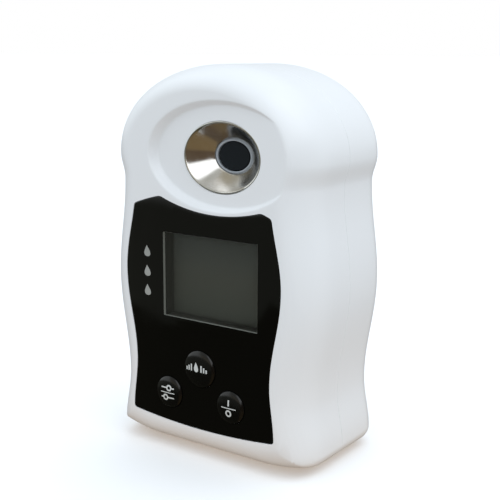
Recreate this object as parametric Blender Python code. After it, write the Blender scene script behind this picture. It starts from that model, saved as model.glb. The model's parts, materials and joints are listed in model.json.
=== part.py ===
"""Pocket digital refractometer, built as an assembly of separate pieces.

Frame: the instrument stands upright on its base, +Z up, its front face looks along -Y and +X is
to the right. The origin is the middle of the bounding box's bottom. Driving dimensions are in
millimetres. Depths are counted from the flat front face towards the back, because every piece
is parented to an empty that sits on the front face.
"""
import math

import bmesh
import bpy
from mathutils import Vector

MM = 0.001

# ---- Overall body -------------------------------------------------------------------------
HEIGHT = 112.0
DEPTH = 44.0
KEY_PROUD = 1.2                     # the domed keys stand this far out of the front face
FRONT_Y = -(DEPTH - KEY_PROUD) / 2  # world y of the flat front face

# Half widths at the bulges and waists, from the base upwards: (height, half width)
SIDE_STATIONS = ((4.5, 34.3), (21.0, 32.2), (51.0, 35.5), (79.5, 32.9), (86.5, 34.4))
BASE_CORNER = 3.6                   # radius of the lower corners, seen from the front
LEAST_CORNER = 0.6                  # that radius where the outline is moved far inwards
BASE_BOW = 50.0                     # radius that eases each corner into the flat base
BASE_BOW_TURN = math.radians(16)
CROWN_POWER = 2.06                  # the top is a superellipse of this power
EDGE_SIDE, EDGE_CROWN = 8.6, 6.9    # how far the front and rear edges reach in over the faces
EDGE_FRONT, EDGE_REAR = 13.0, 8.5   # how far those edges reach along the sides

# ---- Shell walls --------------------------------------------------------------------------
WALL = 2.4
FRONT_WALL = 4.0
REAR_WALL = 3.2
PARTING = 22.0                      # depth of the plane where the two shells meet
GAP = 0.3                           # clearance between neighbouring pieces
HALF_GAP = GAP / 2
GROOVE_INSET = (0.7, 1.7)           # gasket groove, measured in from the outer surface
GROOVE_DEPTH = 0.7

# ---- Front panel, display and keys --------------------------------------------------------
PANEL_STATIONS = ((10.5, 25.1), (26.5, 23.6), (53.0, 27.0), (78.0, 23.4))
PANEL_THICK = 1.0
PANEL_POCKET = PANEL_THICK + GAP
PANEL_SAG = 1.6                     # the bottom edge bows down by this much
PANEL_SHOULDER, PANEL_CROWN = 72.4, 76.9   # heights of the top corners and of the crown arc
PANEL_DIP = (5.6, 71.55, 54.0)      # the scoop under the recess: x, lowest height, radius
PANEL_CORNER = 0.9
DISPLAY_X, DISPLAY_Z = 3.2, 53.05
DISPLAY_W, DISPLAY_H = 32.9, 24.5
FRAME_WALL = 1.2
GLASS_FRONT, GLASS_BACK = 4.5, 6.7
KEYS = {                            # name: (x, z, radius)
    "measure": (0.0, 27.0, 5.4),
    "calibrate": (-11.2, 18.0, 4.7),
    "power": (10.8, 18.0, 4.7),
}
KEY_TRAVEL = 0.6
KEY_STEM_R = 2.6
KEY_STEM_END = 4.9
PLUNGER_R = 1.5
SWITCH_SIZE = 6.0
SWITCH_FRONT = 5.9
BOARD_FRONT, BOARD_BACK = 9.5, 11.1
BOARD_HALF_W = 28.2
BOARD_LOW, BOARD_HIGH = 13.5, 71.0
BOARD_SCREWS = ((-22.0, 66.5), (25.7, 66.5), (-23.0, 27.5), (23.0, 27.5))

# ---- Head: oval recess, sample dish and optics ---------------------------------------------
OVAL_X, OVAL_Z = 7.6, 87.6
OVAL_HALF_W, OVAL_HALF_H = 23.8, 13.8   # at the recess floor
OVAL_DEPTH = 1.2                        # floor depth at its middle
OVAL_TILT = math.radians(2.2)           # the floor comes forward to the right
OVAL_DRAFT = 1.0                        # the wall runs out this far for each unit of height
DISH_X, DISH_Z = 6.7, 87.3
DISH_WIDE, DISH_TALL = 1.16, 0.875      # the dish and its window are slightly oval
DISH_LIP_R, DISH_BODY_R = 11.2, 10.3
DISH_FRONT, DISH_BACK = 1.2, 7.9
DISH_THROAT_R, DISH_THROAT_Y = 5.6, 6.6
DISH_NECK_R, DISH_NECK_END = 6.4, 9.6
SEAL_R = (4.75, 5.3)
PRISM_R = 4.45
PRISM_FACE = 7.0
BLOCK_COLLAR_R = 12.2
BLOCK_FRONT, BLOCK_CHAMBER, BLOCK_BACK = 6.2, 9.9, 28.0
BLOCK_HALF_W, BLOCK_HALF_H, BLOCK_WALL = 15.0, 6.5, 1.5
BLOCK_EARS = (-17.2, 17.2)              # from the dish's middle
SENSOR_BOARD = (28.3, 29.9)

# ---- Batteries, box and door ----------------------------------------------------------------
CELL_R, CELL_LENGTH = 5.25, 44.5
CELL_X, CELL_Y = 5.7, 33.0
BOX_HALF_W, BOX_LOW, BOX_HIGH = 13.0, 15.5, 67.6
BOX_FLOOR, BOX_RIM, BOX_WALL = 25.9, 38.9, 1.3
DOOR_HALF_W, DOOR_LOW, DOOR_HIGH = 15.2, 12.8, 69.2
DOOR_THICK = 1.6                         # its lower edge is round, about the line it tips on
DOOR_LUG_X = 8.0

# ---- Screws -----------------------------------------------------------------------------------
SHELL_SCREWS = ((-24.0, 9.8), (24.0, 9.8), (-20.5, 98.2), (20.5, 98.2))
SHELL_BOSS_R = 3.0
SHELL_TUBE_R = 3.6
SHELL_HEAD_SEAT = 28.0

ROOT = None


# ---- Scene helpers ------------------------------------------------------------------------------
def clear_scene():
    """Remove whatever the file holds and drop the meshes and materials left over."""
    for obj in list(bpy.data.objects):
        bpy.data.objects.remove(obj, do_unlink=True)
    for store in (bpy.data.meshes, bpy.data.curves, bpy.data.materials):
        for item in list(store):
            store.remove(item)


def make_root():
    """The empty on the front face that carries every piece."""
    empty = bpy.data.objects.new("refractometer", None)
    empty.location = (0.0, FRONT_Y * MM, 0.0)
    bpy.context.scene.collection.objects.link(empty)
    return empty


def make_material(name, colour, roughness, metallic=0.0, alpha=1.0):
    mat = bpy.data.materials.new(name)
    mat.use_nodes = True
    shader = mat.node_tree.nodes["Principled BSDF"]
    shader.inputs["Base Color"].default_value = (*colour, 1.0)
    shader.inputs["Roughness"].default_value = roughness
    shader.inputs["Metallic"].default_value = metallic
    shader.inputs["Alpha"].default_value = alpha
    return mat


def make_materials():
    return {
        "white_abs": make_material("white_abs", (0.86, 0.87, 0.89), 0.28),
        "black_gloss": make_material("black_gloss", (0.008, 0.008, 0.008), 0.12),
        "black_key": make_material("black_key", (0.012, 0.012, 0.012), 0.30),
        "clear_pane": make_material("clear_pane", (0.80, 0.85, 0.85), 0.03, alpha=0.25),
        "lcd_grey": make_material("lcd_grey", (0.10, 0.12, 0.10), 0.25),
        "dark_plastic": make_material("dark_plastic", (0.03, 0.03, 0.03), 0.50),
        "grey_plastic": make_material("grey_plastic", (0.12, 0.12, 0.11), 0.45),
        "steel": make_material("steel", (0.70, 0.70, 0.70), 0.18, 1.0),
        "seal_grey": make_material("seal_grey", (0.45, 0.47, 0.50), 0.40),
        "prism_glass": make_material("prism_glass", (0.02, 0.03, 0.05), 0.05, alpha=0.85),
        "optic_glass": make_material("optic_glass", (0.85, 0.90, 0.92), 0.03, alpha=0.35),
        "mirror_coat": make_material("mirror_coat", (0.90, 0.90, 0.90), 0.03, 1.0),
        "rubber": make_material("rubber", (0.02, 0.02, 0.02), 0.75),
        "board_green": make_material("board_green", (0.02, 0.16, 0.06), 0.40),
        "chip_black": make_material("chip_black", (0.02, 0.02, 0.022), 0.55),
        "tin": make_material("tin", (0.62, 0.62, 0.60), 0.30, 1.0),
        "lamp_yellow": make_material("lamp_yellow", (0.85, 0.55, 0.08), 0.10, alpha=0.8),
        "cell_jacket": make_material("cell_jacket", (0.05, 0.12, 0.30), 0.30),
        "lead_red": make_material("lead_red", (0.55, 0.02, 0.02), 0.45),
        "lead_black": make_material("lead_black", (0.02, 0.02, 0.02), 0.45),
        "ribbon_amber": make_material("ribbon_amber", (0.45, 0.18, 0.03), 0.35),
    }


def finish_mesh(bm, name, sharp_deg):
    """Scale a bmesh from millimetres, face it outwards and turn it into a shaded mesh."""
    bmesh.ops.scale(bm, vec=(MM, MM, MM), verts=bm.verts)
    bmesh.ops.recalc_face_normals(bm, faces=bm.faces)
    mesh = bpy.data.meshes.new(name)
    bm.to_mesh(mesh)
    bm.free()
    mesh.shade_smooth()
    mesh.set_sharp_from_angle(angle=math.radians(sharp_deg))
    return mesh


def add_piece(name, bm, mat, at=(0, 0, 0), turn=(0, 0, 0), sharp_deg=30):
    obj = bpy.data.objects.new(name, finish_mesh(bm, name, sharp_deg))
    obj.data.materials.append(mat)
    obj.location = Vector(at) * MM
    obj.rotation_euler = turn
    obj.parent = ROOT
    bpy.context.scene.collection.objects.link(obj)
    return obj


def combine(target, bm, operation, label, at=(0, 0, 0), turn=(0, 0, 0)):
    """Union a solid with a piece or cut it away, through a Boolean modifier."""
    cutter = bpy.data.objects.new(f"{target.name}_{label}", finish_mesh(bm, label, 30))
    cutter.location = Vector(at) * MM
    cutter.rotation_euler = turn
    cutter.parent = ROOT
    cutter.hide_render = True
    cutter.display_type = "WIRE"
    bpy.context.scene.collection.objects.link(cutter)
    modifier = target.modifiers.new(label, "BOOLEAN")
    modifier.operation = operation
    modifier.solver = "EXACT"
    modifier.object = cutter


def cut(target, bm, label, at=(0, 0, 0), turn=(0, 0, 0)):
    combine(target, bm, "DIFFERENCE", label, at, turn)


def join(target, bm, label, at=(0, 0, 0), turn=(0, 0, 0)):
    combine(target, bm, "UNION", label, at, turn)


# ---- Solid builders -----------------------------------------------------------------------------
def loft(rings, closed=False):
    """Skin a chain of equal rings; an open chain gets a cap on its first and last ring."""
    bm = bmesh.new()
    loops = [[bm.verts.new(point) for point in ring] for ring in rings]
    pairs = list(zip(loops, loops[1:]))
    if closed:
        pairs.append((loops[-1], loops[0]))
    for one, two in pairs:
        for i in range(len(one)):
            j = (i + 1) % len(one)
            bm.faces.new((one[i], one[j], two[j], two[i]))
    if not closed:
        bm.faces.new(loops[0])
        bm.faces.new(loops[-1])
    return bm


def slab(outline, y0, y1):
    """Extrude an outline of (x, z) points from depth y0 to y1."""
    return loft([[(x, y, z) for x, z in outline] for y in (y0, y1)])


def box(x0, x1, y0, y1, z0, z1):
    return slab([(x0, z0), (x1, z0), (x1, z1), (x0, z1)], y0, y1)


def circle_points(radius, count, x=0.0, z=0.0):
    turns = [2 * math.pi * i / count for i in range(count)]
    return [(x + radius * math.cos(a), z + radius * math.sin(a)) for a in turns]


def rod(radius, y0, y1, count=16, x=0.0, z=0.0):
    return slab(circle_points(radius, count, x, z), y0, y1)


def turned(profile, count):
    """Turn a (radius, y) profile about the Y axis. An end at radius 0 closes on the axis."""
    bm = bmesh.new()
    rows = []
    for radius, y in profile:
        if radius == 0:
            rows.append([bm.verts.new((0, y, 0))] * count)
        else:
            rows.append([bm.verts.new((px, y, pz)) for px, pz in circle_points(radius, count)])
    pairs = list(zip(rows, rows[1:]))
    if profile[0][0] or profile[-1][0]:
        pairs.append((rows[-1], rows[0]))
    for one, two in pairs:
        for i in range(count):
            j = (i + 1) % count
            corners = list(dict.fromkeys((one[i], one[j], two[j], two[i])))
            bm.faces.new(corners)
    return bm


def oval(bm):
    """Widen and flatten a round solid into the dish's slightly oval shape."""
    bmesh.ops.scale(bm, vec=(DISH_WIDE, 1.0, DISH_TALL), verts=bm.verts)
    return bm


def swept_strip(path, half_w, half_t):
    """A flat strip of rectangular section that follows (y, z) points, its width along X."""
    rings = []
    for i, (y, z) in enumerate(path):
        before = path[max(i - 1, 0)]
        after = path[min(i + 1, len(path) - 1)]
        along = Vector((after[0] - before[0], after[1] - before[1])).normalized()
        side = Vector((-along.y, along.x)) * half_t
        rings.append([(-half_w, y - side.x, z - side.y), (half_w, y - side.x, z - side.y),
                      (half_w, y + side.x, z + side.y), (-half_w, y + side.x, z + side.y)])
    return loft(rings)


def smooth_path(points, per_span):
    """Catmull-Rom points through a few chosen ones, in any number of dimensions."""
    ends = [points[0], *points, points[-1]]
    path = []
    for p0, p1, p2, p3 in zip(ends, ends[1:], ends[2:], ends[3:]):
        for k in range(per_span):
            t = k / per_span
            weights = ((-t + 2 * t * t - t ** 3) / 2, (2 - 5 * t * t + 3 * t ** 3) / 2,
                       (t + 4 * t * t - 3 * t ** 3) / 2, (t ** 3 - t * t) / 2)
            corners = zip(p0, p1, p2, p3)
            path.append(tuple(sum(w * c for w, c in zip(weights, four)) for four in corners))
    path.append(tuple(points[-1]))
    return path


def tube(points, radius, count=8):
    """A round wire along 3-D points, with flat ends."""
    rings = []
    path = [Vector(p) for p in points]
    up = Vector((1, 0, 0))
    for i, point in enumerate(path):
        along = (path[min(i + 1, len(path) - 1)] - path[max(i - 1, 0)]).normalized()
        side = along.cross(up).normalized()
        up = side.cross(along).normalized()
        turns = [2 * math.pi * k / count for k in range(count)]
        rings.append([point + (side * math.cos(a) + up * math.sin(a)) * radius for a in turns])
    return loft(rings)


# ---- The body's outline -------------------------------------------------------------------------
def width_at(stations, z):
    """Half width at height z: cosine blends from station to station."""
    for (z0, w0), (z1, w1) in zip(stations, stations[1:]):
        if z <= z1:
            run = max(0.0, (z - z0) / (z1 - z0))
            return w0 + (w1 - w0) * (1 - math.cos(math.pi * run)) / 2
    return stations[-1][1]


def right_half_outline(inset, crown_inset):
    """Points up the right side, from the end of the flat base to just before the top.

    The base and the side are moved in by one inset and the crown by another; the lower corner
    keeps a small radius even where the inset is larger than the corner.
    """
    corner = max(BASE_CORNER - inset, LEAST_CORNER)
    bow = BASE_BOW - inset
    corner_x = SIDE_STATIONS[0][1] - inset - corner
    corner_z = BASE_BOW - (bow - corner) * math.cos(BASE_BOW_TURN)
    flat_x = corner_x - (bow - corner) * math.sin(BASE_BOW_TURN)
    points = []
    for k in range(3):
        a = BASE_BOW_TURN * k / 3
        points.append((flat_x + bow * math.sin(a), BASE_BOW - bow * math.cos(a)))
    for k in range(5):
        a = (BASE_BOW_TURN - math.pi / 2) * (1 - k / 4)
        points.append((corner_x + corner * math.cos(a), corner_z + corner * math.sin(a)))
    head_z, head_w = SIDE_STATIONS[-1]
    side_steps = 16
    for k in range(1, side_steps + 1):
        z = corner_z + (head_z - corner_z) * k / side_steps
        points.append((width_at(SIDE_STATIONS, z) - inset, z))
    crown_steps = 12
    for k in range(1, crown_steps):
        a = math.radians(90 * k / crown_steps)
        across = math.cos(a) ** (2 / CROWN_POWER)
        up = math.sin(a) ** (2 / CROWN_POWER)
        points.append(((head_w - inset) * across,
                       head_z + (HEIGHT - head_z - crown_inset) * up))
    return points


def body_ring(inset, y, share=0.0):
    """The body's outline at depth y, moved in by an inset plus a share of the edge's reach."""
    side = inset + share * (EDGE_SIDE - inset)
    crown = inset + share * (EDGE_CROWN - inset)
    right = right_half_outline(side, crown)
    outline = right + [(0.0, HEIGHT - crown)] + [(-x, z) for x, z in reversed(right)]
    return [(x, y, z) for x, z in outline]


def edge_rings(inset, y_face, reach, steps):
    """Rings from a flat face round its edge to the side; the section is a quarter ellipse."""
    rings = []
    for k in range(steps + 1):
        a = math.radians(90 * k / steps)
        rings.append(body_ring(inset, y_face + reach * (1 - math.cos(a)), 1 - math.sin(a)))
    return rings


def shell_rings(face_y, reach, wall_y, parting_y):
    """Outer skin, gasket groove and inner skin of one half of the housing."""
    direction = math.copysign(1, reach)
    outer = edge_rings(0.0, face_y, reach, 5)
    groove_y = parting_y - direction * GROOVE_DEPTH
    near, far = GROOVE_INSET
    rim = [body_ring(inset, y) for inset, y in (
        (0.0, parting_y), (near, parting_y), (near, groove_y), (far, groove_y),
        (far, parting_y), (WALL, parting_y))]
    inner = edge_rings(WALL, wall_y, reach - direction * WALL, 3)
    return outer + rim + inner[::-1]


# ---- Front panel outline ------------------------------------------------------------------------
def circle_meet(x1, z1, r1, x2, z2, r2):
    """The two points where two circles in the XZ plane cross, left one first."""
    across = Vector((x2 - x1, z2 - z1))
    reach = across.length
    along = (r1 * r1 - r2 * r2 + reach * reach) / (2 * reach)
    off = math.sqrt(r1 * r1 - along * along)
    unit = across / reach
    middle = Vector((x1, z1)) + unit * along
    side = Vector((-unit.y, unit.x)) * off
    return sorted((tuple(middle - side), tuple(middle + side)))


def arc_between(start, end, cx, cz, radius, sign, steps):
    """Points of a shallow arc between two ends, spaced in x and leaving out the last one."""
    points = []
    for k in range(steps):
        x = start[0] + (end[0] - start[0]) * k / steps
        points.append((x, cz + sign * math.sqrt(radius * radius - (x - cx) ** 2)))
    return points


def soften(points, corners, radius):
    """Replace each named corner by a short curve of three points."""
    result = []
    for i, point in enumerate(points):
        if i not in corners:
            result.append(point)
            continue
        here = Vector(point)
        ahead = (Vector(points[(i + 1) % len(points)]) - here).normalized() * radius
        behind = (Vector(points[i - 1]) - here).normalized() * radius
        result += [tuple(here + behind), tuple(here + (ahead + behind) * 0.25),
                   tuple(here + ahead)]
    return result


def panel_outline(grow):
    """The fascia's outline: body-shaped sides, a bowed bottom and a top scooped by the recess."""
    low_z = PANEL_STATIONS[0][0] - grow
    low_x = PANEL_STATIONS[0][1] + grow
    high_z = PANEL_SHOULDER + grow
    high_x = width_at(PANEL_STATIONS, high_z) + grow
    crown_rise = PANEL_CROWN - PANEL_SHOULDER
    crown_r = (high_x ** 2 + crown_rise ** 2) / (2 * crown_rise)
    crown_z = high_z + crown_rise - crown_r
    dip_x, dip_z, dip_r = PANEL_DIP
    left_peak, right_peak = circle_meet(0.0, crown_z, crown_r, dip_x, dip_z + dip_r, dip_r - grow)
    sag_r = (low_x ** 2 + PANEL_SAG ** 2) / (2 * PANEL_SAG)
    sag_z = low_z - PANEL_SAG + sag_r
    corners, points = [], []

    def add(run):
        corners.append(len(points))
        points.extend(run)

    add(arc_between((-low_x, low_z), (low_x, low_z), 0.0, sag_z, sag_r, -1, 8))
    side_steps = 14
    rise = [low_z + (high_z - low_z) * k / side_steps for k in range(side_steps)]
    add([(width_at(PANEL_STATIONS, z) + grow, z) for z in rise])
    add(arc_between((high_x, high_z), right_peak, 0.0, crown_z, crown_r, 1, 2))
    add(arc_between(right_peak, left_peak, dip_x, dip_z + dip_r, dip_r - grow, -1, 9))
    add(arc_between(left_peak, (-high_x, high_z), 0.0, crown_z, crown_r, 1, 3))
    fall = [high_z + (low_z - high_z) * k / side_steps for k in range(side_steps)]
    add([(-grow - width_at(PANEL_STATIONS, z), z) for z in fall])
    return soften(points, corners, PANEL_CORNER)


def display_rect(grow):
    x0, x1 = DISPLAY_X - DISPLAY_W / 2 - grow, DISPLAY_X + DISPLAY_W / 2 + grow
    z0, z1 = DISPLAY_Z - DISPLAY_H / 2 - grow, DISPLAY_Z + DISPLAY_H / 2 + grow
    return x0, x1, z0, z1


def display_box(grow, y0, y1):
    x0, x1, z0, z1 = display_rect(grow)
    return box(x0, x1, y0, y1, z0, z1)


# ---- Housing ------------------------------------------------------------------------------------
def oval_cutter():
    """Tapered oval, wide end forward, its floor at local depth 0."""
    rings = []
    for rise in (0.0, 8.0):
        half_w = OVAL_HALF_W + OVAL_DRAFT * rise
        half_h = OVAL_HALF_H + OVAL_DRAFT * rise
        turns = [2 * math.pi * k / 48 for k in range(48)]
        rings.append([(half_w * math.cos(a), -rise, half_h * math.sin(a)) for a in turns])
    return loft(rings)


def make_front_shell(mats):
    rings = shell_rings(0.0, EDGE_FRONT, FRONT_WALL, PARTING - HALF_GAP)
    shell = add_piece("front_shell", loft(rings), mats["white_abs"])
    root = FRONT_WALL - 0.5
    for k, (x, z) in enumerate(SHELL_SCREWS, 1):
        join(shell, rod(SHELL_BOSS_R, root, PARTING - 0.5), f"boss_{k}", (x, 0, z))
        cut(shell, rod(1.4, 12.0, PARTING), f"pilot_{k}", (x, 0, z))
    for k, (x, z) in enumerate(BOARD_SCREWS, 1):
        join(shell, rod(2.1, root, BOARD_FRONT - GAP, 12), f"post_{k}", (x, 0, z))
        cut(shell, rod(1.1, root + 1.5, BOARD_FRONT, 12), f"post_hole_{k}", (x, 0, z))
    for k, across in enumerate(BLOCK_EARS, 1):
        at = (DISH_X + across, 0, DISH_Z)
        join(shell, rod(2.0, root, BLOCK_FRONT - GAP, 12), f"ear_post_{k}", at)
        cut(shell, rod(0.9, root - 1.0, BLOCK_FRONT, 12), f"ear_hole_{k}", at)
    cut(shell, oval_cutter(), "oval_recess", (OVAL_X, OVAL_DEPTH, OVAL_Z), (0, 0, -OVAL_TILT))
    at = (DISH_X, 0, DISH_Z)
    cut(shell, oval(rod(DISH_LIP_R + GAP, -1.0, DISH_FRONT + 0.6 + GAP, 40)), "lip_seat", at)
    cut(shell, oval(rod(DISH_BODY_R + GAP, -1.0, 6.0, 40)), "dish_hole", at)
    cut(shell, slab(panel_outline(GAP), -1.0, PANEL_POCKET), "panel_pocket")
    cut(shell, display_box(FRAME_WALL + GAP, 0.5, 6.0), "display_opening")
    for name, (x, z, radius) in KEYS.items():
        at = (x, 0, z)
        well = rod(radius + GAP, 0.5, PANEL_THICK + KEY_TRAVEL + GAP, 24)
        cut(shell, well, f"{name}_well", at)
        cut(shell, rod(KEY_STEM_R + GAP, 0.5, 6.0, 24), f"{name}_hole", at)
    return shell


def make_rear_shell(mats):
    rings = shell_rings(DEPTH, -EDGE_REAR, DEPTH - REAR_WALL, PARTING + HALF_GAP)
    shell = add_piece("rear_shell", loft(rings), mats["white_abs"])
    tube_root = DEPTH - REAR_WALL + 0.5
    for k, (x, z) in enumerate(SHELL_SCREWS, 1):
        join(shell, rod(SHELL_TUBE_R, PARTING + 0.5, tube_root), f"screw_tube_{k}", (x, 0, z))
        cut(shell, rod(1.5, PARTING, SHELL_HEAD_SEAT + 1.0), f"shank_hole_{k}", (x, 0, z))
        cut(shell, rod(2.7, SHELL_HEAD_SEAT, DEPTH + 1.0), f"head_hole_{k}", (x, 0, z))
    seat_y = DEPTH - DOOR_THICK - GAP
    cut(shell, box(-DOOR_HALF_W - GAP, DOOR_HALF_W + GAP, seat_y, DEPTH + 1.0,
                   DOOR_LOW - GAP, DOOR_HIGH + GAP), "door_pocket")
    cut(shell, box(-BOX_HALF_W + BOX_WALL, BOX_HALF_W - BOX_WALL, DEPTH - REAR_WALL - 1.0,
                   seat_y + 1.0, BOX_LOW + BOX_WALL, BOX_HIGH - BOX_WALL), "cell_opening")
    for side in (-1, 1):
        x = side * DOOR_LUG_X
        cut(shell, box(x - 1.9, x + 1.9, DEPTH - REAR_WALL - 1.0, seat_y + 1.0,
                       DOOR_LOW - GAP, BOX_LOW + BOX_WALL + 0.5), f"lug_slot_{side + 2}")
    return shell


def make_shell_gasket(mats):
    inner, outer = GROOVE_INSET[1] - 0.15, GROOVE_INSET[0] + 0.15
    y0, y1 = PARTING - 0.7, PARTING + 0.7
    corners = ((outer, y0), (outer, y1), (inner, y1), (inner, y0))
    rings = [body_ring(inset, y) for inset, y in corners]
    add_piece("shell_gasket", loft(rings, closed=True), mats["rubber"])


def make_battery_door(mats):
    """Flush rear door; its origin is on the line it tips about, inside its round lower edge."""
    half = DOOR_THICK / 2
    at = (0, DEPTH - half, DOOR_LOW + half)
    top = DOOR_HIGH - at[2]
    section = [(half, top), (-half, top)]
    for k in range(9):
        a = math.radians(180 + 180 * k / 8)
        section.append((half * math.cos(a), half * math.sin(a)))
    plate = loft([[(x, y, z) for y, z in section] for x in (-DOOR_HALF_W, DOOR_HALF_W)])
    door = add_piece("battery_door", plate, mats["white_abs"], at)
    for side in (-1, 1):
        x = side * DOOR_LUG_X
        join(door, box(x - 1.5, x + 1.5, -3.8, -0.3, -0.6, 1.0), f"lug_leg_{side + 2}", at)
        join(door, box(x - 1.5, x + 1.5, -3.8, -2.7, -2.1, 0.4), f"lug_toe_{side + 2}", at)
    tongue_top = BOX_HIGH - BOX_WALL - 0.6 - at[2]
    join(door, box(-5.0, 5.0, -3.4, -0.3, tongue_top - 1.4, tongue_top), "latch_tongue", at)
    for k in range(4):
        z = top - 5.0 - 2.2 * k
        cut(door, box(-7.0, 7.0, half - 0.5, 2.0, z - 0.5, z + 0.5), f"grip_groove_{k + 1}", at)
    return door


# ---- Panel, display and keys --------------------------------------------------------------------
def make_front_panel(mats):
    panel = add_piece("front_panel", slab(panel_outline(0.0), 0.0, PANEL_THICK),
                      mats["black_gloss"])
    cut(panel, display_box(0.0, -1.0, 2.0), "window_hole")
    for name, (x, z, radius) in KEYS.items():
        cut(panel, rod(radius + GAP, -1.0, 2.0, 24), f"{name}_hole", (x, 0, z))
    add_piece("display_window", display_box(-GAP, 0.1, PANEL_THICK - 0.1), mats["clear_pane"])


def dome_profile(radius):
    """Half section of a key cap: a shallow dome, a thin flange and the stem behind it."""
    sphere_r = (radius ** 2 + KEY_PROUD ** 2) / (2 * KEY_PROUD)
    profile = [(0, KEY_STEM_END), (KEY_STEM_R, KEY_STEM_END), (KEY_STEM_R, PANEL_THICK),
               (radius, PANEL_THICK), (radius, 0.0)]
    steps = 4
    for k in range(1, steps):
        r = radius * (1 - k / steps)
        profile.append((r, sphere_r - KEY_PROUD - math.sqrt(sphere_r ** 2 - r ** 2)))
    profile.append((0, -KEY_PROUD))
    return profile


def make_keys(mats):
    """Each key, its switch and the switch's plunger; origins are on the key's line of travel."""
    half = SWITCH_SIZE / 2
    for name, (x, z, radius) in KEYS.items():
        at = (x, 0, z)
        add_piece(f"{name}_key", turned(dome_profile(radius), 24), mats["black_key"], at)
        add_piece(f"{name}_plunger", rod(PLUNGER_R, KEY_STEM_END + GAP, 8.0, 16),
                  mats["chip_black"], at)
        switch = add_piece(f"{name}_switch",
                           box(-half, half, SWITCH_FRONT, BOARD_FRONT - GAP, -half, half),
                           mats["tin"], at)
        cut(switch, rod(PLUNGER_R + GAP, SWITCH_FRONT - 1.0, 8.8, 16), "plunger_bore", at)


def make_display(mats):
    x0, x1, z0, z1 = display_rect(0.0)
    frame = add_piece("display_frame", display_box(FRAME_WALL, PANEL_POCKET + GAP, 4.3),
                      mats["grey_plastic"])
    join(frame, display_box(FRAME_WALL + 1.6, FRONT_WALL + GAP, 9.2), "skirt")
    cut(frame, display_box(0.2, 0.5, 10.0), "light_opening")
    cut(frame, display_box(FRAME_WALL + 0.4, GLASS_FRONT - 0.1, 10.0), "glass_seat")
    add_piece("display_glass", display_box(FRAME_WALL + 0.1, GLASS_FRONT + 0.1, GLASS_BACK),
              mats["lcd_grey"])
    for label, z in (("lower", z0), ("upper", z1 - 2.0)):
        add_piece(f"contact_strip_{label}", box(x0, x1, GLASS_BACK + 0.2, 9.2, z, z + 2.0),
                  mats["rubber"])


def make_main_board(mats):
    board = add_piece("main_board", box(-BOARD_HALF_W, BOARD_HALF_W, BOARD_FRONT, BOARD_BACK,
                                        BOARD_LOW, BOARD_HIGH), mats["board_green"])
    for k, (x, z) in enumerate(BOARD_SCREWS, 1):
        cut(board, rod(1.3, BOARD_FRONT - 1.0, BOARD_BACK + 1.0, 12), f"hole_{k}", (x, 0, z))
    back = BOARD_BACK + 0.2
    add_piece("processor_chip", box(-6.0, 6.0, back, back + 1.4, 40.0, 52.0), mats["chip_black"])
    add_piece("crystal_can", box(10.0, 14.6, back, back + 3.4, 40.0, 50.5), mats["tin"])
    add_piece("ribbon_connector", box(-1.0, 13.0, back, back + 2.4, 62.0, 66.0),
              mats["seal_grey"])


# ---- Sample dish and optics -----------------------------------------------------------------------
def make_dish(mats):
    lip_inner = DISH_LIP_R - 0.45
    profile = [(lip_inner, DISH_FRONT), (DISH_LIP_R - 0.1, DISH_FRONT),
               (DISH_LIP_R, DISH_FRONT + 0.1), (DISH_LIP_R, DISH_FRONT + 0.6),
               (DISH_BODY_R, DISH_FRONT + 0.6), (DISH_BODY_R, DISH_BACK),
               (DISH_NECK_R, DISH_BACK), (DISH_NECK_R, DISH_NECK_END),
               (DISH_THROAT_R, DISH_NECK_END), (DISH_THROAT_R, DISH_THROAT_Y)]
    at = (DISH_X, 0, DISH_Z)
    add_piece("sample_dish", oval(turned(profile, 40)), mats["steel"], at)
    seal = [(SEAL_R[0], PRISM_FACE - 0.2), (SEAL_R[1], PRISM_FACE - 0.2),
            (SEAL_R[1], DISH_NECK_END), (SEAL_R[0], DISH_NECK_END)]
    add_piece("prism_seal", oval(turned(seal, 32)), mats["seal_grey"], at)
    gasket = [(DISH_BODY_R + GAP, 4.3), (12.0, 4.3), (12.0, 5.9), (DISH_BODY_R + GAP, 5.9)]
    add_piece("dish_gasket", oval(turned(gasket, 32)), mats["rubber"], at)


def make_prism(mats):
    """Oval window towards the sample and a trapezoid body behind it, in one piece of glass."""
    at = (DISH_X, 0, DISH_Z)
    window = oval(rod(PRISM_R, PRISM_FACE, 10.8, 32))
    prism = add_piece("prism", window, mats["prism_glass"], at)
    front_w, back_w, front_y, back_y, half_h = 8.0, 3.0, 10.2, 16.0, 4.4
    section = ((-front_w, front_y), (front_w, front_y), (back_w, back_y), (-back_w, back_y))
    body = loft([[(x, y, z) for x, y in section] for z in (-half_h, half_h)])
    join(prism, body, "body", at)


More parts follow.
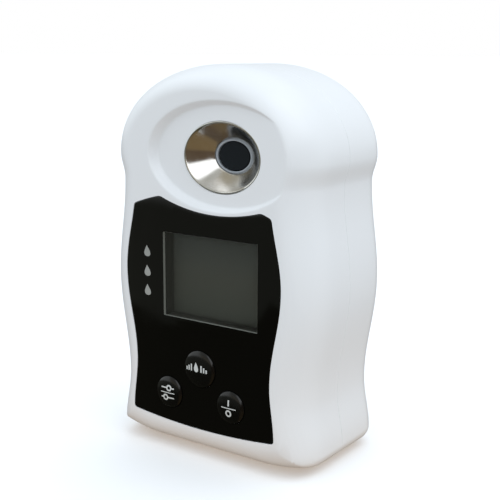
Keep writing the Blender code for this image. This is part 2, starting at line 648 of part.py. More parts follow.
def make_optics_block(mats):
    at = (DISH_X, 0, DISH_Z)
    collar = oval(rod(BLOCK_COLLAR_R, BLOCK_FRONT, BLOCK_CHAMBER + 0.5, 40))
    block = add_piece("optics_block", collar, mats["dark_plastic"], at)
    half_w, half_h, wall = BLOCK_HALF_W, BLOCK_HALF_H, BLOCK_WALL
    join(block, box(-half_w, half_w, BLOCK_CHAMBER - 1.5, BLOCK_BACK, -half_h, half_h),
         "body", at)
    for k, across in enumerate(BLOCK_EARS, 1):
        ear = sorted((across + math.copysign(2.4, across), math.copysign(10.0, across)))
        join(block, box(ear[0], ear[1], BLOCK_FRONT, BLOCK_FRONT + 2.0, -2.8, 2.8),
             f"ear_{k}", at)
        cut(block, rod(1.1, BLOCK_FRONT - 1.0, BLOCK_FRONT + 3.0, 12), f"ear_hole_{k}",
            (DISH_X + across, 0, DISH_Z))
    dish_bore = oval(rod(DISH_BODY_R + GAP, BLOCK_FRONT - 1.0, DISH_BACK + GAP, 40))
    cut(block, dish_bore, "dish_bore", at)
    neck_bore = oval(rod(DISH_NECK_R + GAP, BLOCK_FRONT, BLOCK_CHAMBER + 1.0, 40))
    cut(block, neck_bore, "neck_bore", at)
    cut(block, box(wall - half_w, half_w - wall, BLOCK_CHAMBER, BLOCK_BACK + 1.0,
                   wall - half_h, half_h - wall), "chamber", at)
    cut(block, box(-1.5, 1.5, DISH_BACK, BLOCK_CHAMBER, 5.4, 13.0), "thermistor_slot", at)
    for k, across in enumerate((-1, 1), 1):
        boss_at = (DISH_X + across * (half_w - 2.2), 0, DISH_Z - across * (half_h - 2.2))
        join(block, rod(2.0, BLOCK_BACK - 6.0, BLOCK_BACK, 12), f"lid_boss_{k}", boss_at)
        cut(block, rod(0.9, BLOCK_BACK - 5.0, BLOCK_BACK + 1.0, 12), f"lid_pilot_{k}", boss_at)
    return block


def make_optics_parts(mats):
    """Lamp, mirror, lens and sensor, placed along the light's folded path."""
    def at(across, y, up=0.0):
        return (DISH_X + across, y, DISH_Z + up)

    lamp = [(0, -2.6), (1.0, -2.3), (1.5, -1.6), (1.5, 1.6), (0, 1.6)]
    add_piece("led_lamp", turned(lamp, 16), mats["lamp_yellow"], at(-9.4, 16.6),
              (0, 0, math.radians(49)))
    add_piece("fold_mirror", box(-0.5, 0.5, -3.4, 3.4, -3.4, 3.4), mats["mirror_coat"],
              at(11.0, 16.4), (0, 0, math.radians(-24)))
    lens = [(0, -1.1), (1.3, -0.9), (2.3, -0.3), (2.3, 0.3), (1.3, 0.9), (0, 1.1)]
    add_piece("focus_lens", turned(lens, 24), mats["optic_glass"], at(9.2, 22.6))
    add_piece("image_sensor", box(-3.6, 3.6, -0.7, 0.7, -1.4, 1.4), mats["chip_black"],
              at(7.6, 27.2, 0.6))
    board = add_piece("sensor_board", box(-BLOCK_HALF_W, BLOCK_HALF_W, SENSOR_BOARD[0],
                                          SENSOR_BOARD[1], -BLOCK_HALF_H, BLOCK_HALF_H),
                      mats["board_green"], at(0, 0))
    for k, across in enumerate((-1, 1), 1):
        spot = at(across * (BLOCK_HALF_W - 2.2), 0, -across * (BLOCK_HALF_H - 2.2))
        cut(board, rod(1.1, SENSOR_BOARD[0] - 1, SENSOR_BOARD[1] + 1, 12), f"hole_{k}", spot)
    add_piece("temperature_sensor", box(-0.9, 0.9, -0.6, 0.6, -1.6, 1.6), mats["chip_black"],
              at(0, 9.0, 9.4))


def make_wiring(mats):
    ribbon_path = smooth_path([(30.4, 86.0), (30.6, 80.0), (26.0, 74.5), (18.0, 72.0),
                               (14.6, 68.5), (14.1, 64.0)], 3)
    add_piece("sensor_ribbon", swept_strip(ribbon_path, 4.0, 0.15), mats["ribbon_amber"],
              (DISH_X, 0, 0))
    for name, side in (("red", -1), ("black", 1)):
        route = smooth_path([(side * CELL_X, BOX_FLOOR - 0.5, 24.0), (side * 8.0, 21.0, 22.0),
                             (side * 12.0, 16.0, 24.0), (side * 14.0, BOARD_BACK + 0.5, 28.0)], 4)
        add_piece(f"battery_lead_{name}", tube(route, 0.6), mats[f"lead_{name}"])


# ---- Batteries ------------------------------------------------------------------------------------
def make_battery_box(mats):
    holder = add_piece("battery_box", box(-BOX_HALF_W, BOX_HALF_W, BOX_FLOOR, BOX_RIM,
                                          BOX_LOW, BOX_HIGH), mats["dark_plastic"])
    cut(holder, box(-BOX_HALF_W + BOX_WALL, BOX_HALF_W - BOX_WALL, BOX_FLOOR + BOX_WALL,
                    BOX_RIM + 1.0, BOX_LOW + BOX_WALL, BOX_HIGH - BOX_WALL), "cell_space")
    join(holder, box(-1.6, 1.6, BOX_FLOOR + 0.5, BOX_FLOOR + 2.6, BOX_LOW + 8.0,
                     BOX_HIGH - 8.0), "divider")


def cell_profile():
    """Section of an AAA cell along its own axis, positive nub at the far end."""
    can = CELL_LENGTH - 1.2
    return [(0, 0), (CELL_R - 0.4, 0), (CELL_R, 0.4), (CELL_R, can - 0.4), (CELL_R - 0.4, can),
            (1.9, can), (1.9, CELL_LENGTH), (0, CELL_LENGTH)]


def make_cells(mats):
    """Two cells lying opposite ways, each with a coil spring at its flat end and a plate."""
    inner_low, inner_high = BOX_LOW + BOX_WALL, BOX_HIGH - BOX_WALL
    plate_t, spring_l = 0.5, 3.4
    for name, side in (("left", -1), ("right", 1)):
        up = side < 0
        x = side * CELL_X
        plate_edge = inner_high - GAP if up else inner_low + GAP
        step = -1 if up else 1
        plate_z = sorted((plate_edge, plate_edge + step * plate_t))
        add_piece(f"battery_contact_{name}",
                  box(x - 4.0, x + 4.0, CELL_Y - 4.0, CELL_Y + 4.0, *plate_z), mats["tin"])
        tip = plate_edge + step * (plate_t + GAP)
        flat_end = tip + step * CELL_LENGTH
        add_piece(f"battery_{name}", turned(cell_profile(), 20), mats["cell_jacket"],
                  (x, CELL_Y, flat_end), (math.radians(90 if up else -90), 0, 0))
        coil_start = flat_end + step * (GAP + 0.4)
        coil = []
        turns, per_turn = 3, 10
        for k in range(turns * per_turn + 1):
            t = k / (turns * per_turn)
            a = 2 * math.pi * turns * t
            r = 2.2 + 1.4 * t
            coil.append((r * math.cos(a), r * math.sin(a), step * (spring_l - 0.8) * t))
        add_piece(f"battery_spring_{name}", tube(coil, 0.3, 5), mats["tin"],
                  (x, CELL_Y, coil_start))


# ---- Screws -----------------------------------------------------------------------------------------
def make_screw(name, at, head_r, head_h, shank_r, length, mats):
    """Pan-head screw with a cross recess, driven from behind: its tip points forward."""
    profile = [(0, -length), (shank_r * 0.5, -length), (shank_r, -length + shank_r),
               (shank_r, 0), (head_r, 0), (head_r, head_h * 0.6), (head_r * 0.7, head_h),
               (0, head_h)]
    screw = add_piece(name, turned(profile, 10), mats["tin"], at)
    arm, slot = head_r * 0.55, head_r * 0.13
    for label, dx, dz in (("slot_a", arm, slot), ("slot_b", slot, arm)):
        cut(screw, box(-dx, dx, head_h * 0.45, head_h + 1.0, -dz, dz), label, at)


def make_screws(mats):
    for k, (x, z) in enumerate(SHELL_SCREWS, 1):
        make_screw(f"shell_screw_{k}", (x, SHELL_HEAD_SEAT + GAP, z), 2.3, 1.8, 1.05, 16.0, mats)
    for k, (x, z) in enumerate(BOARD_SCREWS, 1):
        make_screw(f"board_screw_{k}", (x, BOARD_BACK + 0.2, z), 1.9, 1.4, 0.8, 5.5, mats)
    for k, across in enumerate(BLOCK_EARS, 1):
        make_screw(f"optics_screw_{k}", (DISH_X + across, BLOCK_FRONT + 2.2, DISH_Z),
                   1.8, 1.3, 0.6, 5.0, mats)
    for k, across in enumerate((-1, 1), 1):
        spot = (DISH_X + across * (BLOCK_HALF_W - 2.2), SENSOR_BOARD[1] + 0.2,
                DISH_Z - across * (BLOCK_HALF_H - 2.2))
        make_screw(f"sensor_screw_{k}", spot, 1.6, 1.2, 0.6, 5.0, mats)


def main():
    global ROOT
    clear_scene()
    ROOT = make_root()
    mats = make_materials()
    make_front_shell(mats)
    make_rear_shell(mats)
    make_shell_gasket(mats)
    make_battery_door(mats)
    make_front_panel(mats)
    make_keys(mats)
    make_display(mats)
    make_main_board(mats)
    make_dish(mats)
    make_prism(mats)
    make_optics_block(mats)
    make_optics_parts(mats)
    make_wiring(mats)
    make_battery_box(mats)
    make_cells(mats)
    make_screws(mats)


main()
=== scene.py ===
"""Looks of the pocket refractometer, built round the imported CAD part.

Lengths in this script are in millimetres and depths are counted from the flat front face, as in
the CAD source; points() turns them into metres in the row frame.
"""
import json
import math

import bmesh
import bpy
import numpy as np
from mathutils import Matrix, Vector


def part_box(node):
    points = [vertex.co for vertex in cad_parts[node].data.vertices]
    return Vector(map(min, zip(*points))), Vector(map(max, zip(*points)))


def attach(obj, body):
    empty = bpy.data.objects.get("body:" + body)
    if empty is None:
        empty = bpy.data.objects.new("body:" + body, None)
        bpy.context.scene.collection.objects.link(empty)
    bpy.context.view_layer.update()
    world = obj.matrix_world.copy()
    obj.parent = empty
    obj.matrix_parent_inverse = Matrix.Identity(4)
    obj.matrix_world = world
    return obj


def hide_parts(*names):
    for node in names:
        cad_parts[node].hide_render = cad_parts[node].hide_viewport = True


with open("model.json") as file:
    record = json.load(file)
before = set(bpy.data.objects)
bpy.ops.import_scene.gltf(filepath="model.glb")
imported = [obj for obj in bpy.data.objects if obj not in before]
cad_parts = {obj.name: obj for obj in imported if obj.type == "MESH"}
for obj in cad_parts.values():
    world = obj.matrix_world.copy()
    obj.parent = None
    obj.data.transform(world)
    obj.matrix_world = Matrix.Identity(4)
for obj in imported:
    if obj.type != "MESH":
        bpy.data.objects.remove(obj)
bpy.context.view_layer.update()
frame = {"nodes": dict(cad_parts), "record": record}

MM = 0.001
FRONT_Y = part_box("front_shell")[0].y / MM      # world y of the flat front face
GAP = 0.3

# ---- The shape, as in the CAD source; stations are (height, half width) ----
HEIGHT, DEPTH = 112.0, 44.0
SIDE_STATIONS = ((4.5, 34.3), (21.0, 32.2), (51.0, 35.5), (79.5, 32.9), (86.5, 34.4))
BASE_CORNER, LEAST_CORNER = 3.6, 0.6
BASE_BOW, BASE_BOW_TURN = 50.0, math.radians(16)
CROWN_POWER = 2.06
EDGE_SIDE, EDGE_CROWN = 8.6, 6.9
EDGE_FRONT, EDGE_REAR = 13.0, 8.5
WALL, FRONT_WALL, REAR_WALL = 2.4, 4.0, 3.2
PARTING, SEAM = 22.0, 0.035
RIM = 0.10                                  # clear edge of each shell next to the seam
PANEL_THICK = 1.0
PANEL_STATIONS = ((10.5, 25.1), (26.5, 23.6), (53.0, 27.0), (78.0, 23.4))
PANEL_SAG = 1.6
PANEL_SHOULDER, PANEL_CROWN, PANEL_CORNER = 72.4, 76.9, 0.9
PANEL_DIP = (5.6, 71.55, 54.0)
DISPLAY_X, DISPLAY_Z, DISPLAY_W, DISPLAY_H = 3.2, 53.05, 32.9, 24.5
GLASS_FRONT, GLASS_BACK = 4.5, 6.7
# keys are (x, z, radius)
KEYS = {"measure": (0.0, 27.0, 5.4), "calibrate": (-11.2, 18.0, 4.7), "power": (10.8, 18.0, 4.7)}
KEY_PROUD = (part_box("front_shell")[0].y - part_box("measure_key")[0].y) / MM
KEY_STEM_R, KEY_STEM_END = 2.6, 4.9
KEY_DOME_POWER = 2.4
DROP_X, DROP_HEIGHTS, DROP_SIZE = -19.1, (59.0, 53.2, 47.5), (2.9, 3.3)
SIGN_LIFT = 0.03
OVAL_X, OVAL_Z, OVAL_HALF_W, OVAL_HALF_H = 7.6, 87.6, 23.8, 13.8
OVAL_DEPTH, OVAL_TILT = 1.2, math.radians(2.2)
RECESS_SOFT, CREASE_SOFT = 0.26, 0.20       # how soft its inner corner and its outer crease are
CREASE_REACH = 0.7                          # half the width of the band of close rings on it
DISH_X, DISH_Z, DISH_WIDE, DISH_TALL = 6.7, 87.3, 1.16, 0.875
DISH_LIP_R, DISH_BODY_R, DISH_FRONT, DISH_BACK = 11.2, 10.3, 1.2, 7.9
DISH_CLEARANCE = 0.12
DISH_THROAT_R, DISH_THROAT_Y, DISH_NECK_R, DISH_NECK_END = 5.6, 6.6, 6.4, 9.6
SEAL_R, PRISM_R, PRISM_FACE, PRISM_BACK = (4.75, 5.3), 4.45, 7.0, 10.4
DOOR_HALF_W, DOOR_LOW, DOOR_HIGH, DOOR_THICK = 15.2, 12.8, 69.2, 1.6
DOOR_LUG_X = 8.0
BAY_HALF_W, BAY_LOW, BAY_HIGH = 11.7, 16.8, 66.3
SHELL_SCREWS = ((-24.0, 9.8), (24.0, 9.8), (-20.5, 98.2), (20.5, 98.2))
SCREW_BORE_R, SCREW_SEAT_Y = 2.7, 28.3
CELL_R, CELL_CAN, CELL_LENGTH = 5.25, 43.3, 44.5


# ---- Mesh helpers ----
def points(array):
    """Metres in the row frame from (x, depth, z) millimetres."""
    out = np.array(array, float).reshape(-1, 3).copy()
    out[:, 1] += FRONT_Y
    return out * MM


def add_object(name, data):
    obj = bpy.data.objects.new(name, data)
    bpy.context.scene.collection.objects.link(obj)
    return obj


def piece(name, verts, faces, mat, sharp_deg=35, slots=None):
    """A shaded object from millimetre points; faces may carry their own material slots."""
    mesh = bpy.data.meshes.new(name)
    mesh.from_pydata([tuple(v) for v in points(verts)], [], [tuple(map(int, f)) for f in faces])
    for one in (mat if isinstance(mat, (list, tuple)) else [mat]):
        mesh.materials.append(one)
    if slots is not None:
        mesh.polygons.foreach_set("material_index", np.array(slots, dtype=np.int32))
    bm = bmesh.new()
    bm.from_mesh(mesh)
    bmesh.ops.recalc_face_normals(bm, faces=bm.faces)
    bm.to_mesh(mesh)
    bm.free()
    obj = add_object(name, mesh)
    shade(obj, sharp_deg)
    return obj


def shade(obj, sharp_deg):
    obj.data.shade_smooth()
    obj.data.set_sharp_from_angle(angle=math.radians(sharp_deg))


def bake(obj, sharp_deg=35):
    """Put the result of an object's modifiers into its mesh."""
    depsgraph = bpy.context.evaluated_depsgraph_get()
    mesh = bpy.data.meshes.new_from_object(obj.evaluated_get(depsgraph))
    obj.modifiers.clear()
    obj.data = mesh
    shade(obj, sharp_deg)


def boolean(obj, solids, operation="DIFFERENCE"):
    """Cut or join solids given as (vertices, faces) and keep the result."""
    cutters = []
    for verts, faces in solids:
        cutter = piece("cutter", verts, faces, [])
        modifier = obj.modifiers.new("solid", "BOOLEAN")
        modifier.operation = operation
        modifier.solver = "EXACT"
        modifier.object = cutter
        cutters.append(cutter)
    bpy.context.view_layer.update()
    bake(obj)
    for cutter in cutters:
        bpy.data.objects.remove(cutter, do_unlink=True)


def skin(rings, closed=False, caps=True):
    """Vertices and faces that join equal rings of points."""
    rings = [np.array(r, float) for r in rings]
    count = len(rings[0])
    verts = np.vstack(rings)
    faces = []
    last = len(rings) if closed else len(rings) - 1
    for k in range(last):
        a, b = k * count, ((k + 1) % len(rings)) * count
        for i in range(count):
            j = (i + 1) % count
            faces.append((a + i, a + j, b + j, b + i))
    if caps and not closed:
        faces.append(tuple(range(count)))
        top = (len(rings) - 1) * count
        faces.append(tuple(range(top, top + count)))
    return verts, faces


def prism(outline, y0, y1):
    return skin([[(x, y, z) for x, z in outline] for y in (y0, y1)])


def plate(outline, y0, y1, edge):
    """A slab of (x, z) outline whose edge at y0 is rounded over; y0 may be its front or back."""
    rings, inward = [], math.copysign(edge, y1 - y0)
    for a in np.radians(np.linspace(0, 90, 5)):
        inner = offset(outline, edge * (1 - math.sin(a)))
        rings.append([(x, y0 + inward * (1 - math.cos(a)), z) for x, z in inner])
    rings.append([(x, y1, z) for x, z in outline])
    return skin(rings)


def offset(outline, inset):
    """Move a closed (x, z) outline, given anticlockwise, inwards."""
    pts = np.array(outline, float)
    before = pts - np.roll(pts, 1, axis=0)
    after = np.roll(pts, -1, axis=0) - pts
    before /= np.linalg.norm(before, axis=1)[:, None]
    after /= np.linalg.norm(after, axis=1)[:, None]
    along = before + after
    along /= np.linalg.norm(along, axis=1)[:, None]
    normal = np.stack([-along[:, 1], along[:, 0]], axis=1)
    slant = np.clip((along * after).sum(axis=1), 0.5, 1.0)
    return pts + normal * (inset / slant)[:, None]


def rounded_rect(x0, x1, z0, z1, radius, steps=5):
    """Anticlockwise rectangle with round corners."""
    corners = ((x1 - radius, z0 + radius, -90), (x1 - radius, z1 - radius, 0),
               (x0 + radius, z1 - radius, 90), (x0 + radius, z0 + radius, 180))
    result = []
    for cx, cz, start in corners:
        for k in range(steps + 1):
            a = math.radians(start + 90 * k / steps)
            result.append((cx + radius * math.cos(a), cz + radius * math.sin(a)))
    return result


def circle(radius, count, x=0.0, z=0.0, wide=1.0, tall=1.0):
    """Anticlockwise (x, z) points of a circle, or of an ellipse."""
    turns = np.linspace(0, 2 * math.pi, count, endpoint=False)
    return [(x + radius * wide * math.cos(a), z + radius * tall * math.sin(a)) for a in turns]


def turned(profile, count, x, z, wide=1.0, tall=1.0):
    """Turn a (radius, depth) profile about a line along the depth; radius 0 closes it."""
    verts, faces, rows = [], [], []
    for radius, y in profile:
        if radius == 0:
            verts.append((x, y, z))
            rows.append([len(verts) - 1] * count)
        else:
            start = len(verts)
            verts += [(px, y, pz) for px, pz in circle(radius, count, x, z, wide, tall)]
            rows.append(list(range(start, start + count)))
    pairs = list(zip(rows, rows[1:]))
    if profile[0][0] or profile[-1][0]:
        pairs.append((rows[-1], rows[0]))
    for one, two in pairs:
        for i in range(count):
            j = (i + 1) % count
            face = tuple(dict.fromkeys((one[i], one[j], two[j], two[i])))
            if len(face) > 2:
                faces.append(face)
    return verts, faces


def arc(cx, cy, radius, start, end, steps):
    """Points of a profile arc, angles in degrees."""
    turns = np.radians(np.linspace(start, end, steps + 1))
    return [(cx + radius * math.cos(a), cy + radius * math.sin(a)) for a in turns]


def tube(path, radius, count=12):
    """A round wire along 3-D millimetre points, with flat ends."""
    path = [Vector(p) for p in path]
    up = Vector((1, 0, 0))
    rings = []
    for i, here in enumerate(path):
        along = (path[min(i + 1, len(path) - 1)] - path[max(i - 1, 0)]).normalized()
        side = along.cross(up).normalized()
        up = side.cross(along).normalized()
        turns = [2 * math.pi * k / count for k in range(count)]
        rings.append([tuple(here + (side * math.cos(a) + up * math.sin(a)) * radius)
                      for a in turns])
    return skin(rings)


# ---- Materials ----
class Tree:
    """A node tree that is being put together."""

    def __init__(self, tree):
        self.tree = tree

    def add(self, kind, values=None, **settings):
        """A node with its settings and the values of its named inputs."""
        node = self.tree.nodes.new(kind)
        for key, value in settings.items():
            setattr(node, key, value)
        for key, value in (values or {}).items():
            node.inputs[key].default_value = value
        return node

    def link(self, source, target):
        self.tree.links.new(source, target)

    def mixed(self):
        """A colour mix: the node, its two colour inputs and its colour output."""
        node = self.add("ShaderNodeMix", data_type="RGBA")
        return (node, [i for i in node.inputs if i.type == "RGBA"],
                [o for o in node.outputs if o.type == "RGBA"][0])


class Nodes(Tree):
    """A Principled material whose detail follows the object's own place in space."""

    def __init__(self, name):
        self.mat = bpy.data.materials.new(name)
        self.mat.use_nodes = True
        super().__init__(self.mat.node_tree)
        self.shader = self.tree.nodes["Principled BSDF"]
        self.place = self.add("ShaderNodeTexCoord").outputs["Object"]

    def noise(self, scale, detail=3.0, rough=0.55, stretch=None):
        node = self.add("ShaderNodeTexNoise",
                        {"Scale": scale, "Detail": detail, "Roughness": rough})
        source = self.place
        if stretch:
            mapping = self.add("ShaderNodeMapping", {"Scale": stretch})
            self.link(source, mapping.inputs["Vector"])
            source = mapping.outputs["Vector"]
        self.link(source, node.inputs["Vector"])
        return node.outputs["Fac"]

    def ramp(self, source, stops):
        """A colour ramp; each stop's value is a colour or a single number."""
        node = self.add("ShaderNodeValToRGB")
        ramp = node.color_ramp
        while len(ramp.elements) < len(stops):
            ramp.elements.new(0.5)
        for element, (position, value) in zip(ramp.elements, stops):
            element.position = position
            element.color = (*(value if isinstance(value, tuple) else (value,) * 3), 1.0)
        self.link(source, node.inputs["Fac"])
        return node.outputs["Color"]

    def mottle(self, scale, detail, low, high):
        """A tone that wanders between two values along a noise."""
        return self.ramp(self.noise(scale, detail), [(0.3, low), (0.7, high)])

    def drift(self, source, low, high):
        """A colour that follows a noise straight from low to high, with no flat ends."""
        node, colours, result = self.mixed()
        self.link(source, node.inputs["Factor"])
        for socket, value in zip(colours, (low, high)):
            socket.default_value = (*value, 1.0)
        return result

    def spread(self, source, low, high):
        """A number that follows a noise straight from low to high."""
        node = self.add("ShaderNodeMapRange", {"To Min": low, "To Max": high})
        self.link(source, node.inputs["Value"])
        return node.outputs["Result"]

    def bump(self, height, depth_mm, strength):
        node = self.add("ShaderNodeBump", {"Strength": strength, "Distance": depth_mm * MM})
        self.link(height, node.inputs["Height"])
        return node.outputs["Normal"]

    def set(self, **values):
        """Link or set the shader's sockets, and give the material back."""
        for key, value in values.items():
            socket = self.shader.inputs[key.replace("_", " ")]
            if isinstance(value, bpy.types.NodeSocket):
                self.link(value, socket)
            else:
                socket.default_value = value
        return self.mat


def abs_material(name, low, high, rough):
    """Moulded gloss ABS: faint tone drift, a handled sheen and a hint of mould texture."""
    n = Nodes(name)
    tone = n.drift(n.noise(16, 0), low, high)
    handled = n.spread(n.noise(36, 0), *rough)      # lines show where roughness crosses 0.27
    peel = n.bump(n.noise(420, 1), 0.004, 0.5)
    return n.set(Base_Color=tone, Roughness=handled, IOR=1.50, Normal=peel)


def gloss_black(name, base, rough):
    """Polished dark plastic or glass with faint finger smudges and dust."""
    n = Nodes(name)
    smudge = n.ramp(n.noise(90, 6, 0.65), [(0.42, rough), (0.70, rough + 0.07)])
    dust = n.ramp(n.noise(2600, 1, 0.4), [(0.74, base), (0.80, tuple(c * 2.2 for c in base))])
    return n.set(Base_Color=dust, Roughness=smudge, IOR=1.49)


def moulded(name, low, high, rough, grain_mm=0.02, scale=900, metallic=0.0):
    """Matt moulded or plated stock with fine grain."""
    n = Nodes(name)
    tone = n.mottle(scale * 0.08, 4, low, high)
    sheen = n.mottle(scale * 0.4, 3, rough * 0.85, min(1.0, rough * 1.15))
    n.set(Base_Color=tone, Roughness=sheen, Metallic=metallic)
    return n.set(Normal=n.bump(n.noise(scale, 3), grain_mm, 0.5))


def glass(name, colour, rough):
    n = Nodes(name)
    tint = n.mottle(120, 2, tuple(c * 0.96 for c in colour), colour)
    return n.set(Base_Color=tint, Roughness=rough, IOR=1.5, Transmission_Weight=1.0)


def smoked_pane(name):
    """A thin, slightly smoked acrylic window: see-through with a polished face."""
    n = Nodes(name)
    tint = n.mottle(120, 2, (0.008, 0.009, 0.008), (0.012, 0.013, 0.012))
    return n.set(Base_Color=tint, Roughness=0.03, IOR=3.0, Alpha=0.16)


def lathe_steel(name):
    """Polished stainless steel with turning marks that circle the dish."""
    n = Nodes(name)
    middle = (-DISH_X * MM / DISH_WIDE, 0, -DISH_Z * MM / DISH_TALL)
    centre = n.add("ShaderNodeMapping",
                   {"Location": middle, "Scale": (1 / DISH_WIDE, 1.0, 1 / DISH_TALL)})
    n.link(n.place, centre.inputs["Vector"])
    wave = n.add("ShaderNodeTexWave",
                 {"Scale": 1500, "Distortion": 1.4, "Detail": 3.0, "Detail Scale": 1.2},
                 wave_type="RINGS", rings_direction="Y")
    n.link(centre.outputs["Vector"], wave.inputs["Vector"])
    marks = n.bump(wave.outputs["Fac"], 0.0012, 0.55)
    tone = n.mottle(220, 4, (0.70, 0.69, 0.66), (0.78, 0.78, 0.76))
    worn = n.ramp(n.noise(500, 4), [(0.35, 0.13), (0.75, 0.21)])
    return n.set(Base_Color=tone, Roughness=worn, Metallic=1.0, Normal=marks)


def lcd_material():
    """Grey-green polariser with fine electrode lines; its tone is lighter in the middle and darker
    towards its lower and upper edges, painted shade from the display's well.
    """
    n = Nodes("display_polariser")
    split = n.add("ShaderNodeSeparateXYZ")
    n.link(n.place, split.inputs[0])
    wave = n.add("ShaderNodeTexWave", {"Scale": 330}, wave_type="BANDS", bands_direction="X")
    n.link(n.place, wave.inputs["Vector"])
    height = n.add("ShaderNodeMapRange", {"From Min": (DISPLAY_Z - DISPLAY_H / 2) * MM,
                                          "From Max": (DISPLAY_Z + DISPLAY_H / 2) * MM})
    n.link(split.outputs["Z"], height.inputs["Value"])
    # painted shade: the polariser's tone darkens from its middle towards its lower and upper
    # edges, standing in for the shade of the display's well
    tone = n.ramp(height.outputs["Result"],
                  [(0.0, (0.074, 0.080, 0.064)), (0.5, (0.084, 0.088, 0.072)),
                   (1.0, (0.070, 0.080, 0.074))])
    lines = n.bump(wave.outputs["Fac"], 0.0004, 0.15)
    cloud = n.mottle(120, 2, 0.30, 0.36)
    return n.set(Base_Color=tone, Roughness=cloud, Normal=lines, Specular_IOR_Level=0.1)


def cell_material():
    """The dark blue film round a cell, with fine scratches along it."""
    n = Nodes("cell_film")
    scratches = n.ramp(n.noise(900, 4, 0.6, (1, 1, 0.1)), [(0.4, 0.20), (0.8, 0.38)])
    tone = n.mottle(60, 3, (0.018, 0.055, 0.16), (0.024, 0.070, 0.19))
    return n.set(Base_Color=tone, Roughness=scratches, Metallic=0.35)


MATS = {
    "white_abs": abs_material("white_abs_gloss", (0.765, 0.780, 0.793), (0.785, 0.800, 0.812),
                              (0.28, 0.34)),
    "black_gloss": gloss_black("fascia_black", (0.0014, 0.0014, 0.0012), 0.03),
    "black_key": gloss_black("key_black", (0.0018, 0.0019, 0.0018), 0.16),
    "clear_pane": smoked_pane("window_clear"),
    "pane_edge": moulded("window_cut_edge", (0.24, 0.25, 0.22), (0.32, 0.33, 0.29), 0.45),
    "ink": moulded("printed_ink", (0.27, 0.28, 0.26), (0.32, 0.33, 0.31), 0.5, 0.01, 1800),
    "pale_ink": moulded("printed_pale_ink", (0.50, 0.53, 0.52), (0.58, 0.61, 0.60), 0.5, 0.01,
                        1800),
    "lcd_grey": lcd_material(),
    "lcd_rim": moulded("display_rim", (0.030, 0.033, 0.026), (0.036, 0.040, 0.032), 0.4),
    "dark_plastic": moulded("dark_nylon", (0.020, 0.020, 0.020), (0.030, 0.030, 0.030), 0.55),
    "grey_plastic": moulded("grey_nylon", (0.022, 0.024, 0.018), (0.028, 0.030, 0.023), 0.5),
    "steel": lathe_steel("dish_steel"),
    "seal_grey": moulded("seal_elastomer", (0.34, 0.37, 0.40), (0.42, 0.45, 0.48), 0.42),
    "prism_glass": gloss_black("prism_dark_glass", (0.0075, 0.0105, 0.0150), 0.05),
    "optic_glass": glass("lens_clear", (0.95, 0.98, 1.0), 0.02),
    "mirror_coat": moulded("mirror_silver", (0.86, 0.87, 0.88), (0.90, 0.90, 0.91), 0.05,
                           0.002, 700, 1.0),
    "rubber": moulded("black_rubber", (0.018, 0.018, 0.019), (0.030, 0.030, 0.031), 0.75),
    "board_green": moulded("solder_mask", (0.012, 0.100, 0.040), (0.020, 0.135, 0.055), 0.35),
    "chip_black": moulded("moulded_epoxy", (0.014, 0.014, 0.016), (0.024, 0.024, 0.026), 0.55),
    "tin": moulded("plated_tin", (0.56, 0.56, 0.54), (0.66, 0.66, 0.64), 0.26, 0.006, 600, 1.0),
    "lamp_yellow": glass("lamp_epoxy", (0.90, 0.62, 0.16), 0.08),
    "cell_jacket": cell_material(),
    "lead_red": moulded("lead_red_pvc", (0.42, 0.014, 0.012), (0.52, 0.02, 0.016), 0.4),
    "lead_black": moulded("lead_black_pvc", (0.014, 0.014, 0.014), (0.024, 0.024, 0.024), 0.4),
    "ribbon_amber": moulded("polyimide", (0.36, 0.15, 0.02), (0.46, 0.20, 0.03), 0.3),
}


def finish_piece(obj, body, slot, *nodes):
    """Ride a piece on its body and let it stand for CAD nodes, which it hides; slot is not used.
    """
    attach(obj, body)
    if nodes:
        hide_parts(*nodes)


# ---- Body outline ----
def width_at(stations, z):
    """Half width at height z, eased from one station to the next."""
    for (z0, w0), (z1, w1) in zip(stations, stations[1:]):
        if z <= z1:
            run = max(0.0, (z - z0) / (z1 - z0))
            return w0 + (w1 - w0) * (1 - math.cos(math.pi * run)) / 2
    return stations[-1][1]


def body_outline(inset, crown_inset):
    """Dense anticlockwise outline from the middle of the base, moved inwards."""
    corner = max(BASE_CORNER - inset, LEAST_CORNER)
    bow = BASE_BOW - inset
    corner_x = SIDE_STATIONS[0][1] - inset - corner
    corner_z = BASE_BOW - (bow - corner) * math.cos(BASE_BOW_TURN)
    flat_x = corner_x - (bow - corner) * math.sin(BASE_BOW_TURN)
    right = [(x, inset) for x in np.linspace(0.5, flat_x, 24, endpoint=False)]
    for a in np.linspace(0, BASE_BOW_TURN, 16, endpoint=False):
        right.append((flat_x + bow * math.sin(a), BASE_BOW - bow * math.cos(a)))
    for a in np.linspace(BASE_BOW_TURN - math.pi / 2, 0, 16):
        right.append((corner_x + corner * math.cos(a), corner_z + corner * math.sin(a)))
    head_z, head_w = SIDE_STATIONS[-1]
    for z in np.linspace(corner_z, head_z, 151)[1:]:
        right.append((width_at(SIDE_STATIONS, z) - inset, z))
    for a in np.linspace(0, math.pi / 2, 91)[1:-1]:
        right.append(((head_w - inset) * math.cos(a) ** (2 / CROWN_POWER),
                      head_z + (HEIGHT - head_z - crown_inset) * math.sin(a) ** (2 / CROWN_POWER)))
    left = [(-x, z) for x, z in reversed(right)]
    return np.array([(0.0, inset)] + right + [(0.0, HEIGHT - crown_inset)] + left)


def share_outline(share, least=0.0):
    """Outline moved in by a share of the edge's reach, from an inset that is already there."""
    return body_outline(least + share * (EDGE_SIDE - least),
                        least + share * (EDGE_CROWN - least))


def around(outline, angles, cx, cz):
    """Distance from a centre to an outline at the given angles."""
    dx, dz = outline[:, 0] - cx, outline[:, 1] - cz
    return np.interp(angles, np.arctan2(dz, dx), np.hypot(dx, dz), period=2 * math.pi)


